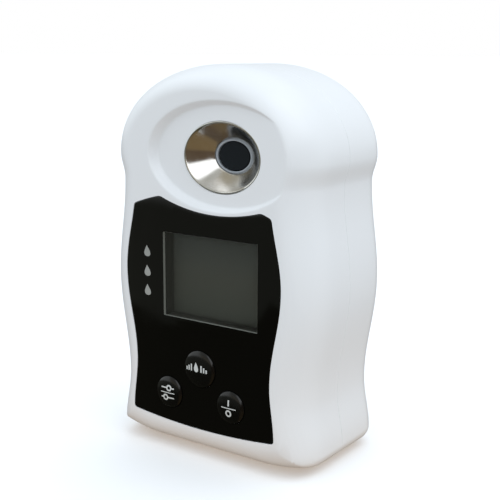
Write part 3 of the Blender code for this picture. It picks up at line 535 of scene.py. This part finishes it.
def ray_angles(cx, cz, count):
    """Angles round a centre that space points evenly along the outline and by turn."""
    outline = body_outline(0.0, 0.0)
    closed = np.vstack([outline, outline[:1]])
    turn = np.unwrap(np.arctan2(closed[:, 1] - cz, closed[:, 0] - cx))
    length = np.concatenate([[0], np.cumsum(np.hypot(*np.diff(closed, axis=0).T))])
    bend = np.arctan2(*np.diff(closed, axis=0).T[::-1])
    bend = np.concatenate([[0], np.cumsum(np.abs(np.diff(np.unwrap(bend)))), [0]])
    bend[-1] = bend[-2]
    weight = (0.5 * length / length[-1] + 0.3 * (turn - turn[0]) / (turn[-1] - turn[0])
              + 0.2 * bend / bend[-1])
    return np.interp(np.arange(count) / count, weight, turn)


def body_ring(angles, cx, cz, y, inset=0.0, share=0.0):
    """The outline at depth y, seen from a centre, as points at the given angles."""
    distance = around(share_outline(share, inset), angles, cx, cz)
    return flat_ring(angles, cx, cz, y, distance)


def flat_ring(angles, cx, cz, y, distance):
    return np.stack([cx + distance * np.cos(angles), np.full(len(angles), y),
                     cz + distance * np.sin(angles)], axis=1)


# ---- Front shell ----
def recess_depth(x, z):
    """Depth of the oval recess, floor and 45 degree wall, with a soft inner corner."""
    floor = OVAL_DEPTH - math.tan(OVAL_TILT) * (x - OVAL_X)
    dx, dz = np.abs(x - OVAL_X), np.abs(z - OVAL_Z)
    low = np.full_like(dx, -min(OVAL_HALF_W, OVAL_HALF_H) + 0.5)
    high = np.full_like(dx, 120.0)
    for _ in range(40):
        mid = (low + high) / 2
        outside = (dx / (OVAL_HALF_W + mid)) ** 2 + (dz / (OVAL_HALF_H + mid)) ** 2 > 1
        low, high = np.where(outside, mid, low), np.where(outside, high, mid)
    rise = (low + high) / 2
    return floor - (rise + np.sqrt(rise ** 2 + RECESS_SOFT ** 2)) / 2


def front_surface():
    """Rings of points from the dish's hole over recess, face, edge and side to the seam."""
    count = 460
    angles = ray_angles(DISH_X, DISH_Z, count)
    cos, sin = np.cos(angles), np.sin(angles)
    bend = np.radians(np.linspace(0, 90, 25))
    reach = np.array([around(share_outline(1 - math.sin(a)), angles, DISH_X, DISH_Z)
                      for a in bend])
    drop = EDGE_FRONT * (1 - np.cos(bend))
    hole_r = DISH_LIP_R + DISH_CLEARANCE
    hole = 1 / np.sqrt((cos / (hole_r * DISH_WIDE)) ** 2 + (sin / (hole_r * DISH_TALL)) ** 2)
    rim = around(np.array(circle(1.0, 720, OVAL_X, OVAL_Z, OVAL_HALF_W, OVAL_HALF_H)),
                 angles, DISH_X, DISH_Z)
    radii = [[] for _ in range(count)]
    for i in range(count):
        tries = np.linspace(hole[i] + 1.0, reach[-1, i] - 0.05, 500)
        skin_y = np.interp(tries, reach[:, i], drop, left=0.0)
        cut_y = recess_depth(DISH_X + tries * cos[i], DISH_Z + tries * sin[i])
        crease = tries[np.argmax(skin_y >= cut_y)]
        wall = min(rim[i], crease) - CREASE_REACH
        outer = crease + CREASE_REACH
        bend_start = max(reach[0, i], outer + 0.6)
        row = list(np.linspace(hole[i], wall, 6, endpoint=False))
        row += list(np.linspace(wall, outer, 18, endpoint=False))
        run = np.linspace(0, 1, 20, endpoint=False)
        row += list(outer + (bend_start - outer) * run ** 1.6)
        a0 = np.interp(bend_start, reach[:, i], bend)
        row += list(np.interp(np.linspace(a0, math.pi / 2, 17), bend, reach[:, i]))
        radii[i] = row
    radii = np.array(radii).T
    rings = []
    for row in radii:
        x, z = DISH_X + row * cos, DISH_Z + row * sin
        skin_y = np.array([np.interp(r, reach[:, i], drop, left=0.0) for i, r in enumerate(row)])
        cut_y = recess_depth(x, z)
        y = (skin_y + cut_y + np.sqrt((skin_y - cut_y) ** 2 + CREASE_SOFT ** 2)) / 2
        y = np.where(skin_y - cut_y > 3.0, skin_y, y)
        rings.append(np.stack([x, y, z], axis=1))
    outline = rings[-1].copy()
    seam = PARTING - SEAM
    for y in (14.0, 16.0, 18.5, seam - 0.12):
        ring = outline.copy()
        ring[:, 1] = y
        rings.append(ring)
    at = (angles, DISH_X, DISH_Z)
    rings += [body_ring(*at, seam, RIM), body_ring(*at, seam, WALL)]
    for a in np.radians((90, 60, 30, 0)):
        y = FRONT_WALL + (EDGE_FRONT - WALL) * (1 - math.cos(a))
        rings.append(body_ring(*at, y, WALL, 1 - math.sin(a)))
    return rings + [flat_ring(*at, FRONT_WALL + 1.4, hole)]


def panel_outline(grow):
    """The fascia's outline, anticlockwise from its lower left corner, with eased corners."""
    low_z, low_x = PANEL_STATIONS[0][0] - grow, PANEL_STATIONS[0][1] + grow
    high_z = PANEL_SHOULDER + grow
    high_x = width_at(PANEL_STATIONS, high_z) + grow
    rise = PANEL_CROWN - PANEL_SHOULDER
    crown_r = (high_x ** 2 + rise ** 2) / (2 * rise)
    crown_z = high_z + rise - crown_r
    dip_x, dip_z, dip_r = PANEL_DIP
    dip_cz, dip_r = dip_z + dip_r, dip_r - grow
    reach = math.hypot(dip_x, dip_cz - crown_z)
    along = (crown_r ** 2 - dip_r ** 2 + reach ** 2) / (2 * reach)
    off = math.sqrt(crown_r ** 2 - along ** 2)
    unit = (dip_x / reach, (dip_cz - crown_z) / reach)
    middle = (unit[0] * along, crown_z + unit[1] * along)
    left_peak = (middle[0] - unit[1] * off, middle[1] + unit[0] * off)
    right_peak = (middle[0] + unit[1] * off, middle[1] - unit[0] * off)
    sag_r = (low_x ** 2 + PANEL_SAG ** 2) / (2 * PANEL_SAG)
    sag_z = low_z - PANEL_SAG + sag_r

    def bow(x0, x1, cx, cz, radius, sign, steps):
        return [(x, cz + sign * math.sqrt(radius ** 2 - (x - cx) ** 2))
                for x in np.linspace(x0, x1, steps + 1)]

    sides = [
        bow(-low_x, low_x, 0.0, sag_z, sag_r, -1, 40),
        [(width_at(PANEL_STATIONS, z) + grow, z) for z in np.linspace(low_z, high_z, 61)],
        bow(high_x, right_peak[0], 0.0, crown_z, crown_r, 1, 6),
        bow(right_peak[0], left_peak[0], dip_x, dip_cz, dip_r, -1, 44),
        bow(left_peak[0], -high_x, 0.0, crown_z, crown_r, 1, 12),
        [(-width_at(PANEL_STATIONS, z) - grow, z) for z in np.linspace(high_z, low_z, 61)],
    ]
    result = []
    for run, following in zip(sides, sides[1:] + sides[:1]):
        run, following = np.array(run), np.array(following)
        here = run[-1]
        clear_of_end = np.hypot(*(run - here).T) > PANEL_CORNER
        clear_of_start = np.hypot(*(run - run[0]).T) > PANEL_CORNER
        near = run[clear_of_end][-1]
        ahead = following[np.hypot(*(following - here).T) > PANEL_CORNER][0]
        start = here + (near - here) * PANEL_CORNER / np.hypot(*(near - here))
        end = here + (ahead - here) * PANEL_CORNER / np.hypot(*(ahead - here))
        result += [tuple(p) for p in run[clear_of_end & clear_of_start]]
        for t in np.linspace(0, 1, 6):
            result.append(tuple(start * (1 - t) ** 2 + here * 2 * t * (1 - t) + end * t ** 2))
    return result


def display_rect(grow, radius):
    """The display's opening, grown on every side."""
    half_w, half_h = DISPLAY_W / 2 + grow, DISPLAY_H / 2 + grow
    return rounded_rect(DISPLAY_X - half_w, DISPLAY_X + half_w,
                        DISPLAY_Z - half_h, DISPLAY_Z + half_h, radius)


def make_front_shell():
    shell = piece("front_shell_skin", *skin(front_surface(), closed=True), MATS["white_abs"], 40)
    cuts = [prism(panel_outline(0.10), -1.0, PANEL_THICK + GAP),
            prism(display_rect(1.5, 0.5), 0.5, 9.0)]
    for x, z, radius in KEYS.values():
        cuts.append(prism(circle(radius + GAP, 48, x, z), 0.5, 9.0))
    boolean(shell, cuts)
    finish_piece(shell, "housing", "white_abs", "front_shell")


# ---- Rear shell and door ----
def make_rear_shell():
    """The rear shell's inner and outer skin, cut for the door, its lugs and the screws."""
    centre = (0.0, HEIGHT / 2)
    at = (ray_angles(*centre, 420), *centre)
    seam = PARTING + SEAM
    rings = [body_ring(*at, seam, WALL), body_ring(*at, seam, RIM)]
    rings += [body_ring(*at, y) for y in (seam + 0.12, 27.0, 31.0, DEPTH - EDGE_REAR)]
    for a in np.radians(np.linspace(90, 0, 13)[1:]):
        y = DEPTH - EDGE_REAR * (1 - math.cos(a))
        rings.append(body_ring(*at, y, share=1 - math.sin(a)))
    flat = rings[-1]
    middle = np.array([centre[0], DEPTH, centre[1]])
    for t in (0.8, 0.6, 0.4, 0.2, 0.06):
        rings.append(middle + (flat - middle) * t)
    inside = rings[-1].copy()
    inside[:, 1] = DEPTH - REAR_WALL
    rings.append(inside)
    for a in np.radians((0, 30, 60, 90)):
        y = DEPTH - REAR_WALL - (EDGE_REAR - WALL) * (1 - math.cos(a))
        rings.append(body_ring(*at, y, WALL, 1 - math.sin(a)))
    shell = piece("rear_shell_skin", *skin(rings, closed=True), MATS["white_abs"], 40)
    inner_y = DEPTH - REAR_WALL - 1.0
    pocket_y = DEPTH - DOOR_THICK - GAP
    cuts = [prism(rounded_rect(-DOOR_HALF_W - 0.15, DOOR_HALF_W + 0.15, DOOR_LOW - GAP,
                               DOOR_HIGH + 0.15, 1.6), pocket_y, DEPTH + 1.0),
            prism(rounded_rect(-BAY_HALF_W, BAY_HALF_W, BAY_LOW, BAY_HIGH, 0.6), inner_y,
                  pocket_y + 0.5)]
    for x in (-DOOR_LUG_X, DOOR_LUG_X):
        cuts.append(prism(rounded_rect(x - 1.9, x + 1.9, DOOR_LOW - GAP, BAY_LOW + 0.5, 0.2),
                          inner_y, pocket_y + 0.5))
    for x, z in SHELL_SCREWS:
        cuts.append(prism(circle(SCREW_BORE_R, 40, x, z), inner_y, DEPTH + 1.0))
    boolean(shell, cuts)
    finish_piece(shell, "housing", "white_abs", "rear_shell")
    inner_r, outer_r, top_y = SCREW_BORE_R + 0.02, 3.5, DEPTH - 2.9
    bore = [(inner_r, SCREW_SEAT_Y), (outer_r, SCREW_SEAT_Y), (outer_r, top_y), (inner_r, top_y)]
    seat = [(1.4, SCREW_SEAT_Y - 0.3), (outer_r, SCREW_SEAT_Y - 0.3), (outer_r, SCREW_SEAT_Y),
            (1.4, SCREW_SEAT_Y)]
    for k, (x, z) in enumerate(SHELL_SCREWS, 1):
        for label, profile in (("bore", bore), ("seat", seat)):
            part = piece(f"screw_{label}_{k}", *turned(profile, 40, x, z), MATS["white_abs"])
            finish_piece(part, "housing", "white_abs")


def make_door():
    """Door plate with round edges, lower roll, lugs, latch tongue, and grip lines cut into it."""
    half = DOOR_THICK / 2
    outline = rounded_rect(-DOOR_HALF_W, DOOR_HALF_W, DOOR_LOW + half, DOOR_HIGH, 1.4, 8)
    door = piece("battery_door_plate", *plate(outline, DEPTH, DEPTH - DOOR_THICK, 0.35),
                 MATS["white_abs"], 40)
    roll = [[(x, DEPTH - half + half * math.cos(a), DOOR_LOW + half + half * math.sin(a))
             for a in np.linspace(0, 2 * math.pi, 32, endpoint=False)]
            for x in (-DOOR_HALF_W + 0.02, DOOR_HALF_W - 0.02)]
    web = prism(rounded_rect(-DOOR_HALF_W + 0.01, DOOR_HALF_W - 0.01, DOOR_LOW + half,
                             DOOR_LOW + 3.0, 0.01, 1), DEPTH - DOOR_THICK + 0.001, DEPTH - 0.001)
    root = DEPTH - 1.1                               # where lugs and tongue meet the plate
    joins = [skin(roll), web]
    for x in (-DOOR_LUG_X, DOOR_LUG_X):
        arm = rounded_rect(x - 1.5, x + 1.5, DOOR_LOW + 0.2, DOOR_LOW + 1.8, 0.2)
        toe = rounded_rect(x - 1.5, x + 1.5, DOOR_LOW - 1.3, DOOR_LOW + 1.2, 0.2)
        joins += [prism(arm, DEPTH - 4.6, root), prism(toe, DEPTH - 4.6, DEPTH - 3.5)]
    tongue = rounded_rect(-5.0, 5.0, DOOR_HIGH - 4.9, DOOR_HIGH - 3.5, 0.2)
    joins.append(prism(tongue, DEPTH - 4.2, root))
    boolean(door, joins, "UNION")
    cuts = []
    for k in range(5):
        z = DOOR_HIGH - 5.0 - 2.0 * k
        cuts.append(prism(rounded_rect(-7.0, 7.0, z - 0.5, z + 0.5, 0.45), DEPTH - 0.5,
                          DEPTH + 1.0))
    arrow = [(-2.2, 52.0), (0.0, 49.6), (2.2, 52.0)]
    cuts.append(prism(arrow, DEPTH - 0.35, DEPTH + 1.0))
    boolean(door, cuts)
    finish_piece(door, "rear_door", "white_abs", "battery_door")


# ---- Fascia, window, display ----
def make_fascia():
    """Fascia, window pane and the display behind it."""
    fascia = piece("fascia", *plate(panel_outline(0.0), -0.02, PANEL_THICK, 0.18),
                   MATS["black_gloss"], 40)
    cuts = [prism(display_rect(0.0, 0.25), -1.0, 2.0)]
    for x, z, radius in KEYS.values():
        cuts.append(prism(circle(radius + 0.15, 64, x, z), -1.0, 2.0))
    boolean(fascia, cuts)
    finish_piece(fascia, "housing", "black_gloss", "front_panel")

    verts, faces = prism(display_rect(-0.06, 0.2), 0.0, PANEL_THICK - 0.1)
    edge_then_faces = [1] * (len(faces) - 2) + [0, 0]
    pane = piece("window_pane", verts, faces, [MATS["clear_pane"], MATS["pane_edge"]], 30,
                 edge_then_faces)
    finish_piece(pane, "housing", "clear_pane", "display_window")

    cell = piece("display_cell", *prism(display_rect(1.1, 0.4), GLASS_FRONT + 0.1, GLASS_BACK),
                 MATS["lcd_rim"], 30)
    finish_piece(cell, "housing", "lcd_grey", "display_glass")
    polariser = plate(display_rect(-0.35, 0.3), GLASS_FRONT - 0.12, GLASS_FRONT + 0.1, 0.08)
    active = piece("display_polariser", *polariser, MATS["lcd_grey"], 30)
    finish_piece(active, "housing", "lcd_grey")


def drop_outline(x, z, width, height):
    """A falling drop: round below, drawn to a point above that leans a little to the left."""
    result = []
    for t in np.linspace(0, 2 * math.pi, 40, endpoint=False):
        px = 0.56 * width * math.sin(t) * math.sin(t / 2) ** 1.5
        pz = math.cos(t)
        lean = 0.07 * height * ((pz + 1) / 2) ** 2
        result.append((x - px - lean, z + pz * height / 2))
    return result


def make_drop_marks():
    for k, z in enumerate(DROP_HEIGHTS, 1):
        mark = piece(f"drop_mark_{k}", *prism(drop_outline(DROP_X, z, *DROP_SIZE), -0.05, 0.02),
                     MATS["ink"], 30)
        finish_piece(mark, "housing", "black_gloss")


# ---- Keys and their signs ----
def dome_depth(radius, r):
    """Depth of a key's face at distance r from its middle: flat-topped dome, steep rim."""
    return -KEY_PROUD * max(0.0, 1 - (r / radius) ** KEY_DOME_POWER) ** (1 / KEY_DOME_POWER)


def make_key(name, x, z, radius):
    rim = 0.15
    profile = [(0, KEY_STEM_END), (KEY_STEM_R, KEY_STEM_END), (KEY_STEM_R, PANEL_THICK),
               (radius - rim, PANEL_THICK), (radius, PANEL_THICK - rim), (radius, 0.3),
               (radius, 0.0)]
    for a in np.linspace(4, 90, 22):
        r = radius * math.cos(math.radians(a)) if a < 90 else 0
        profile.append((r, dome_depth(radius, r)))
    key = piece(f"{name}_cap", *turned(profile, 96, x, z), MATS["black_key"], 40)
    finish_piece(key, f"{name}_button", "black_key", f"{name}_key")


def make_sign(key, strokes):
    """Printed sign that follows the key's dome: strokes are closed (x, z) outlines."""
    kx, kz, radius = KEYS[key]
    verts, faces = [], []
    for outline in strokes:
        bm = bmesh.new()
        bm.faces.new([bm.verts.new((px, 0, pz)) for px, pz in outline])
        bmesh.ops.triangulate(bm, faces=bm.faces)
        bmesh.ops.subdivide_edges(bm, edges=bm.edges, cuts=2, use_grid_fill=True)
        bm.verts.ensure_lookup_table()
        bmesh.ops.recalc_face_normals(bm, faces=bm.faces)
        if sum(f.normal.y for f in bm.faces) > 0:
            bmesh.ops.reverse_faces(bm, faces=bm.faces)
        flat = [(v.co.x, v.co.z) for v in bm.verts]
        start = len(verts)
        for lift in (-SIGN_LIFT, SIGN_LIFT):
            verts += [(kx + px, dome_depth(radius, math.hypot(px, pz)) + lift, kz + pz)
                      for px, pz in flat]
        count = len(flat)
        for face in bm.faces:
            ids = [v.index for v in face.verts]
            faces.append([start + i for i in ids])
            faces.append([start + count + i for i in reversed(ids)])
        for edge in bm.edges:
            if edge.is_boundary:
                a, b = edge.verts[0].index, edge.verts[1].index
                faces.append([start + a, start + b, start + count + b, start + count + a])
        bm.free()
    obj = piece(f"{key}_sign", verts, faces, MATS["pale_ink"], 30)
    finish_piece(obj, f"{key}_button", "black_key")


def bar(x0, x1, z0, z1):
    """A straight stroke, with points close enough to bend over the dome."""
    xs = np.linspace(x0, x1, max(2, int(abs(x1 - x0) / 0.5) + 1))
    return [(x, z0) for x in xs] + [(x, z1) for x in xs[::-1]]


def band(cx, cz, outer, inner):
    """A ring as two half outlines."""
    halves = []
    for start in (0, 180):
        turns = np.radians(np.linspace(start, start + 180, 19))
        halves.append([(cx + outer * math.cos(a), cz + outer * math.sin(a)) for a in turns]
                      + [(cx + inner * math.cos(a), cz + inner * math.sin(a))
                         for a in turns[::-1]])
    return halves


def make_keys():
    """Measure has a drop between bars, calibrate two sliders, power a stroke over a ring."""
    for name, (x, z, radius) in KEYS.items():
        make_key(name, x, z, radius)
    level = [drop_outline(0.0, 0.1, 1.9, 2.9)]
    for side in (-1, 1):
        for across, tall in ((1.75, 2.0), (2.65, 1.5), (3.5, 1.0)):
            level.append(bar(side * across - 0.24, side * across + 0.24, -1.2, tall - 1.2))
    make_sign("measure", [[(px - 0.5, pz + 0.7) for px, pz in outline] for outline in level])
    divider = bar(-2.5, 2.5, -0.13, 0.13)
    sliders = []
    for across, up in ((0.5, 1.45), (-0.7, -1.45)):
        sliders += band(across, up, 0.95, 0.5)
        sliders += [bar(-2.3, across - 0.95, up - 0.2, up + 0.2),
                    bar(across + 0.95, 2.3, up - 0.2, up + 0.2)]
    make_sign("calibrate", sliders + [divider])
    make_sign("power", [bar(-0.25, 0.25, 0.65, 2.4), divider] + band(0, -1.5, 1.0, 0.55))


# ---- Dish and prism ----
def make_dish():
    """Turned steel dish, the grey seal ring at its throat and the prism's dark face."""
    lip_inner = DISH_LIP_R - 0.45
    profile = [(lip_inner - 0.12, DISH_FRONT + 0.10), (lip_inner, DISH_FRONT + 0.02)]
    profile += arc(DISH_LIP_R - 0.2, DISH_FRONT + 0.2, 0.2, -90, 0, 5)
    profile += [(DISH_LIP_R, DISH_FRONT + 0.6), (DISH_BODY_R, DISH_FRONT + 0.6),
                (DISH_BODY_R, DISH_BACK), (DISH_NECK_R, DISH_BACK),
                (DISH_NECK_R, DISH_NECK_END), (DISH_THROAT_R, DISH_NECK_END),
                (DISH_THROAT_R, DISH_THROAT_Y + 0.25)]
    start, end = (DISH_THROAT_R + 0.2, DISH_THROAT_Y), profile[0]
    bow = 0.25                                      # the cone is very slightly hollow
    for t in np.linspace(0, 1, 16)[:-1]:
        profile.append((start[0] + (end[0] - start[0]) * t,
                        start[1] + (end[1] - start[1]) * t + bow * math.sin(math.pi * t)))
    oval = (DISH_X, DISH_Z, DISH_WIDE, DISH_TALL)
    dish = piece("dish_turned", *turned(profile, 160, *oval), MATS["steel"], 30)
    finish_piece(dish, "housing", "steel", "sample_dish")
    low, high = SEAL_R
    half = (high - low) / 2
    ring = [(low, PRISM_FACE + 0.6), (low, PRISM_FACE)]
    ring += arc(low + half, PRISM_FACE - 0.2 + half, half, 180, 360, 8)
    ring += [(high + 0.2, PRISM_FACE + 0.1), (high + 0.2, PRISM_FACE + 0.6)]
    seal = piece("prism_seal_ring", *turned(ring, 96, *oval), MATS["seal_grey"], 40)
    finish_piece(seal, "housing", "seal_grey", "prism_seal")
    window = [(0, PRISM_BACK), (PRISM_R, PRISM_BACK), (PRISM_R, PRISM_FACE + 0.15),
              (PRISM_R - 0.15, PRISM_FACE), (2.2, PRISM_FACE - 0.02), (0, PRISM_FACE - 0.03)]
    glass_face = piece("prism_window", *turned(window, 96, *oval), MATS["prism_glass"], 30)
    finish_piece(glass_face, "housing", "prism_glass")


# ---- Battery compartment ----
def make_cell(name, cx, cy, flat, step):
    """A cell from its flat end to its nub: crimped metal ends and a film between them."""
    count, can = 64, CELL_CAN
    rows = [(1e-3, 0), (3.6, 0), (4.0, 0.25), (CELL_R - 0.35, 0.25), (CELL_R, 0.6),
            (CELL_R, can - 0.5), (CELL_R - 0.3, can - 0.15), (3.3, can - 0.15), (3.0, can - 0.4),
            (2.0, can - 0.4), (1.9, can + 0.2), (1.9, CELL_LENGTH - 0.25), (1.65, CELL_LENGTH),
            (1e-3, CELL_LENGTH)]
    verts, faces = skin([[(cx + px, cy + py, flat + step * h) for px, py in circle(r, count)]
                         for r, h in rows])
    film, metal = 0, 1
    slots = []
    for (_, low), (_, high) in zip(rows, rows[1:]):
        slots += [metal if high <= 0.6 or low >= can - 0.5 else film] * count
    cell = piece(f"cell_{name}", verts, faces, [MATS["cell_jacket"], MATS["tin"]], 30,
                 slots + [metal, metal])
    finish_piece(cell, "housing", "cell_jacket", f"battery_{name}")


def make_spring(name, cx, cy, start, end):
    """Three turns of round wire that open towards the contact plate."""
    path = []
    for t in np.linspace(0, 1, 110):
        a, r = 6 * math.pi * t, 2.2 + 1.35 * t
        path.append((cx + r * math.cos(a), cy + r * math.sin(a), start + (end - start) * t))
    spring = piece(f"cell_spring_{name}", *tube(path, 0.28, 10), MATS["tin"], 50)
    finish_piece(spring, "housing", "tin", f"battery_spring_{name}")


def make_cells():
    """The left cell stands nub up and the right one nub down, each against its spring."""
    for name in ("left", "right"):
        low, high = (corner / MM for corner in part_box(f"battery_{name}"))
        cx, cy = (low.x + high.x) / 2, (low.y + high.y) / 2 - FRONT_Y
        coil_low, coil_high = (corner.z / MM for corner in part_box(f"battery_spring_{name}"))
        if name == "left":
            make_cell(name, cx, cy, low.z, 1)
            make_spring(name, cx, cy, coil_high - 0.3, coil_low + 0.3)
        else:
            make_cell(name, cx, cy, high.z, -1)
            make_spring(name, cx, cy, coil_low + 0.3, coil_high - 0.3)


# ---- Stage ----
class Glow(Tree):
    """An emission colour worked out from a direction, for the room and the sky."""

    def __init__(self, tree, coordinate):
        super().__init__(tree)
        tree.nodes.clear()
        source = self.add("ShaderNodeTexCoord").outputs[coordinate]
        unit = self.add("ShaderNodeVectorMath", operation="NORMALIZE")
        self.link(source, unit.inputs[0])
        split = self.add("ShaderNodeSeparateXYZ")
        self.link(unit.outputs["Vector"], split.inputs[0])
        self.x, self.y, self.z = split.outputs

    def plug(self, socket, value):
        """Set a socket to a colour or number, or link an output to it."""
        if isinstance(value, tuple):
            socket.default_value = (*value, 1.0)
        elif isinstance(value, (int, float)):
            socket.default_value = value
        else:
            self.link(value, socket)

    def lean(self, one, two, share):
        """One value plus a share of another."""
        made = self.add("ShaderNodeMath", operation="MULTIPLY_ADD")
        for socket, value in zip(made.inputs, (two, share, one)):
            self.plug(socket, value)
        return made.outputs[0]

    def step(self, value, low, high, smooth=True):
        """0 below low, 1 above high."""
        kind = "SMOOTHSTEP" if smooth else "LINEAR"
        made = self.add("ShaderNodeMapRange", {"From Min": low, "From Max": high},
                        interpolation_type=kind)
        self.plug(made.inputs["Value"], value)
        return made.outputs["Result"]

    def mix(self, factor, one, two):
        """From the first colour to the second."""
        node, colours, result = self.mixed()
        for socket, value in zip((node.inputs["Factor"], *colours), (factor, one, two)):
            self.plug(socket, value)
        return result


def make_card(name, half, z, material):
    """A level square that belongs to the stage."""
    mesh = bpy.data.meshes.new(name)
    mesh.from_pydata([(-half, -half, z), (half, -half, z), (half, half, z), (-half, half, z)],
                     [], [(0, 1, 2, 3)])
    mesh.materials.append(material)
    card = add_object(name, mesh)
    return card


def hide_from(obj, *rays):
    for ray in rays:
        setattr(obj, f"visible_{ray}", False)


def make_floor():
    n = Nodes("pale_floor")
    tone = n.mottle(3.0, 3, (0.93, 0.93, 0.93), (0.95, 0.95, 0.95))
    pale = n.set(Base_Color=tone, Roughness=0.9, Specular_IOR_Level=0.1)
    hide_from(make_card("floor", 30.0, 0.0, pale), "glossy", "diffuse")


def glow_material(name):
    """An empty emission material and the tree that a Glow works in."""
    mat = bpy.data.materials.new(name)
    mat.use_nodes = True
    g = Glow(mat.node_tree, "Object")
    lamp = g.add("ShaderNodeEmission")
    g.plug(g.add("ShaderNodeOutputMaterial").inputs["Surface"], lamp.outputs[0])
    return mat, g, lamp.inputs["Color"]


def make_bounce():
    """A dim warm card under the object, seen only by diffuse light."""
    mat, g, colour = glow_material("bounce_card")
    g.plug(colour, (0.70, 0.57, 0.46))
    card = make_card("bounce_card", 0.085, -0.002, mat)
    hide_from(card, "camera", "glossy", "transmission", "shadow")


def make_reflections():
    """A dome that only reflections see: a dim room with a brown table and one bright side."""
    bm = bmesh.new()
    bmesh.ops.create_uvsphere(bm, u_segments=64, v_segments=32, radius=2.0)
    mesh = bpy.data.meshes.new("reflected_room")
    bm.to_mesh(mesh)
    bm.free()
    mesh.shade_smooth()
    dark_brown = (0.105, 0.072, 0.045)
    mat, g, colour = glow_material("reflected_room")
    far_side = g.mix(g.step(g.z, -0.254, -0.246), (0.055, 0.052, 0.036), (0.155, 0.160, 0.132))
    near_side = g.mix(g.step(g.z, -0.42, -0.28), (0.19, 0.135, 0.070), dark_brown)
    below = g.mix(g.step(g.x, -0.10, 0.10), far_side, near_side)
    front = g.mix(g.step(g.z, 0.15, 0.45), (0.56, 0.51, 0.40), (0.50, 0.50, 0.47))
    room = g.mix(g.step(g.x, -0.62, -0.42), (1.05, 1.10, 1.10), front)
    lamp = g.mix(g.step(g.lean(g.z, g.x, -0.85), -0.30, -0.12), dark_brown, (1.5, 1.52, 1.55))
    room = g.mix(g.step(g.lean(g.x, g.z, 0.15), 0.24, 0.33), room, lamp)
    backdrop = g.mix(g.step(g.y, 0.15, 0.45), room, (0.60, 0.62, 0.64))
    g.plug(colour, g.mix(g.step(g.z, 0.01, 0.08), below, backdrop))
    mesh.materials.append(mat)
    dome = add_object("reflected_room", mesh)
    hide_from(dome, "camera", "diffuse", "volume_scatter", "shadow")


def make_key_light(place, target, size, energy, colour):
    """A soft square lamp that reflections and the camera don't see."""
    data = bpy.data.lights.new("key", "AREA")
    data.shape = "RECTANGLE"
    data.size = data.size_y = size
    data.energy = energy
    data.color = colour
    light = add_object("key", data)
    light.location = place
    light.rotation_euler = (target - place).to_track_quat("-Z", "Y").to_euler()
    hide_from(light, "glossy", "camera")


def make_lights():
    """A soft sky, cool above and dim and warm below, plain white behind the object."""
    world = bpy.data.worlds.new("soft_room")
    bpy.context.scene.world = world
    world.use_nodes = True
    g = Glow(world.node_tree, "Generated")
    sky = g.mix(g.step(g.z, -1.0, 1.0, smooth=False), (0.42, 0.385, 0.355), (1.35, 1.47, 1.58))
    sky = g.mix(g.step(g.x, -0.9, 0.9), g.mix(0.12, sky, (0.0, 0.0, 0.0)), sky)
    rays = g.add("ShaderNodeLightPath")
    seen = g.mix(rays.outputs["Is Camera Ray"], sky, (1.0, 1.0, 1.0))
    back = g.add("ShaderNodeBackground")
    g.plug(back.inputs["Color"], seen)
    g.plug(g.add("ShaderNodeOutputWorld").inputs["Surface"], back.outputs[0])
    make_key_light(Vector((0.42, -0.12, 0.80)), Vector((0, 0, 0.06)), 0.5, 0.8, (1.0, 0.99, 0.97))
    bpy.context.scene.view_settings.view_transform = "Standard"
    bpy.context.scene.view_settings.look = "None"


def make_camera():
    """Seen from the object's right and a little above, upright but for a trace of roll."""
    turn, tilt, roll = (math.radians(angle) for angle in (35.3, 11.5, 0.3))
    distance = 258.3 * MM
    back = Vector((math.sin(turn) * math.cos(tilt), -math.cos(turn) * math.cos(tilt),
                   math.sin(tilt)))
    data = bpy.data.cameras.new("camera")
    data.sensor_width = 36.0
    data.lens = 69.92
    data.clip_start, data.clip_end = 0.01, 100.0
    aim = Vector((17.1, FRONT_Y, 63.57)) * MM
    right = (-back).cross(Vector((0, 0, 1))).normalized()
    up = right.cross(-back)
    across = right * math.cos(roll) + up * math.sin(roll)
    above = up * math.cos(roll) - right * math.sin(roll)
    place = aim + back * distance
    camera = add_object("camera", data)
    camera.matrix_world = Matrix(((across.x, above.x, back.x, place.x),
                                  (across.y, above.y, back.y, place.y),
                                  (across.z, above.z, back.z, place.z), (0, 0, 0, 1)))
    bpy.context.scene.camera = camera


def dress_nodes():
    """Give every CAD node its slot's finish."""
    slots = {s["node"]: s["material_slot"] for s in frame["record"]["subparts"]}
    for name, obj in frame["nodes"].items():
        mat = MATS[slots[name]]
        if not obj.data.materials:
            obj.data.materials.append(mat)
        for k in range(len(obj.material_slots)):
            obj.material_slots[k].material = mat


make_camera()
make_floor()
make_bounce()
make_reflections()
make_lights()
dress_nodes()
make_front_shell()
make_rear_shell()
make_door()
make_fascia()
make_drop_marks()
make_keys()
make_dish()
make_cells()
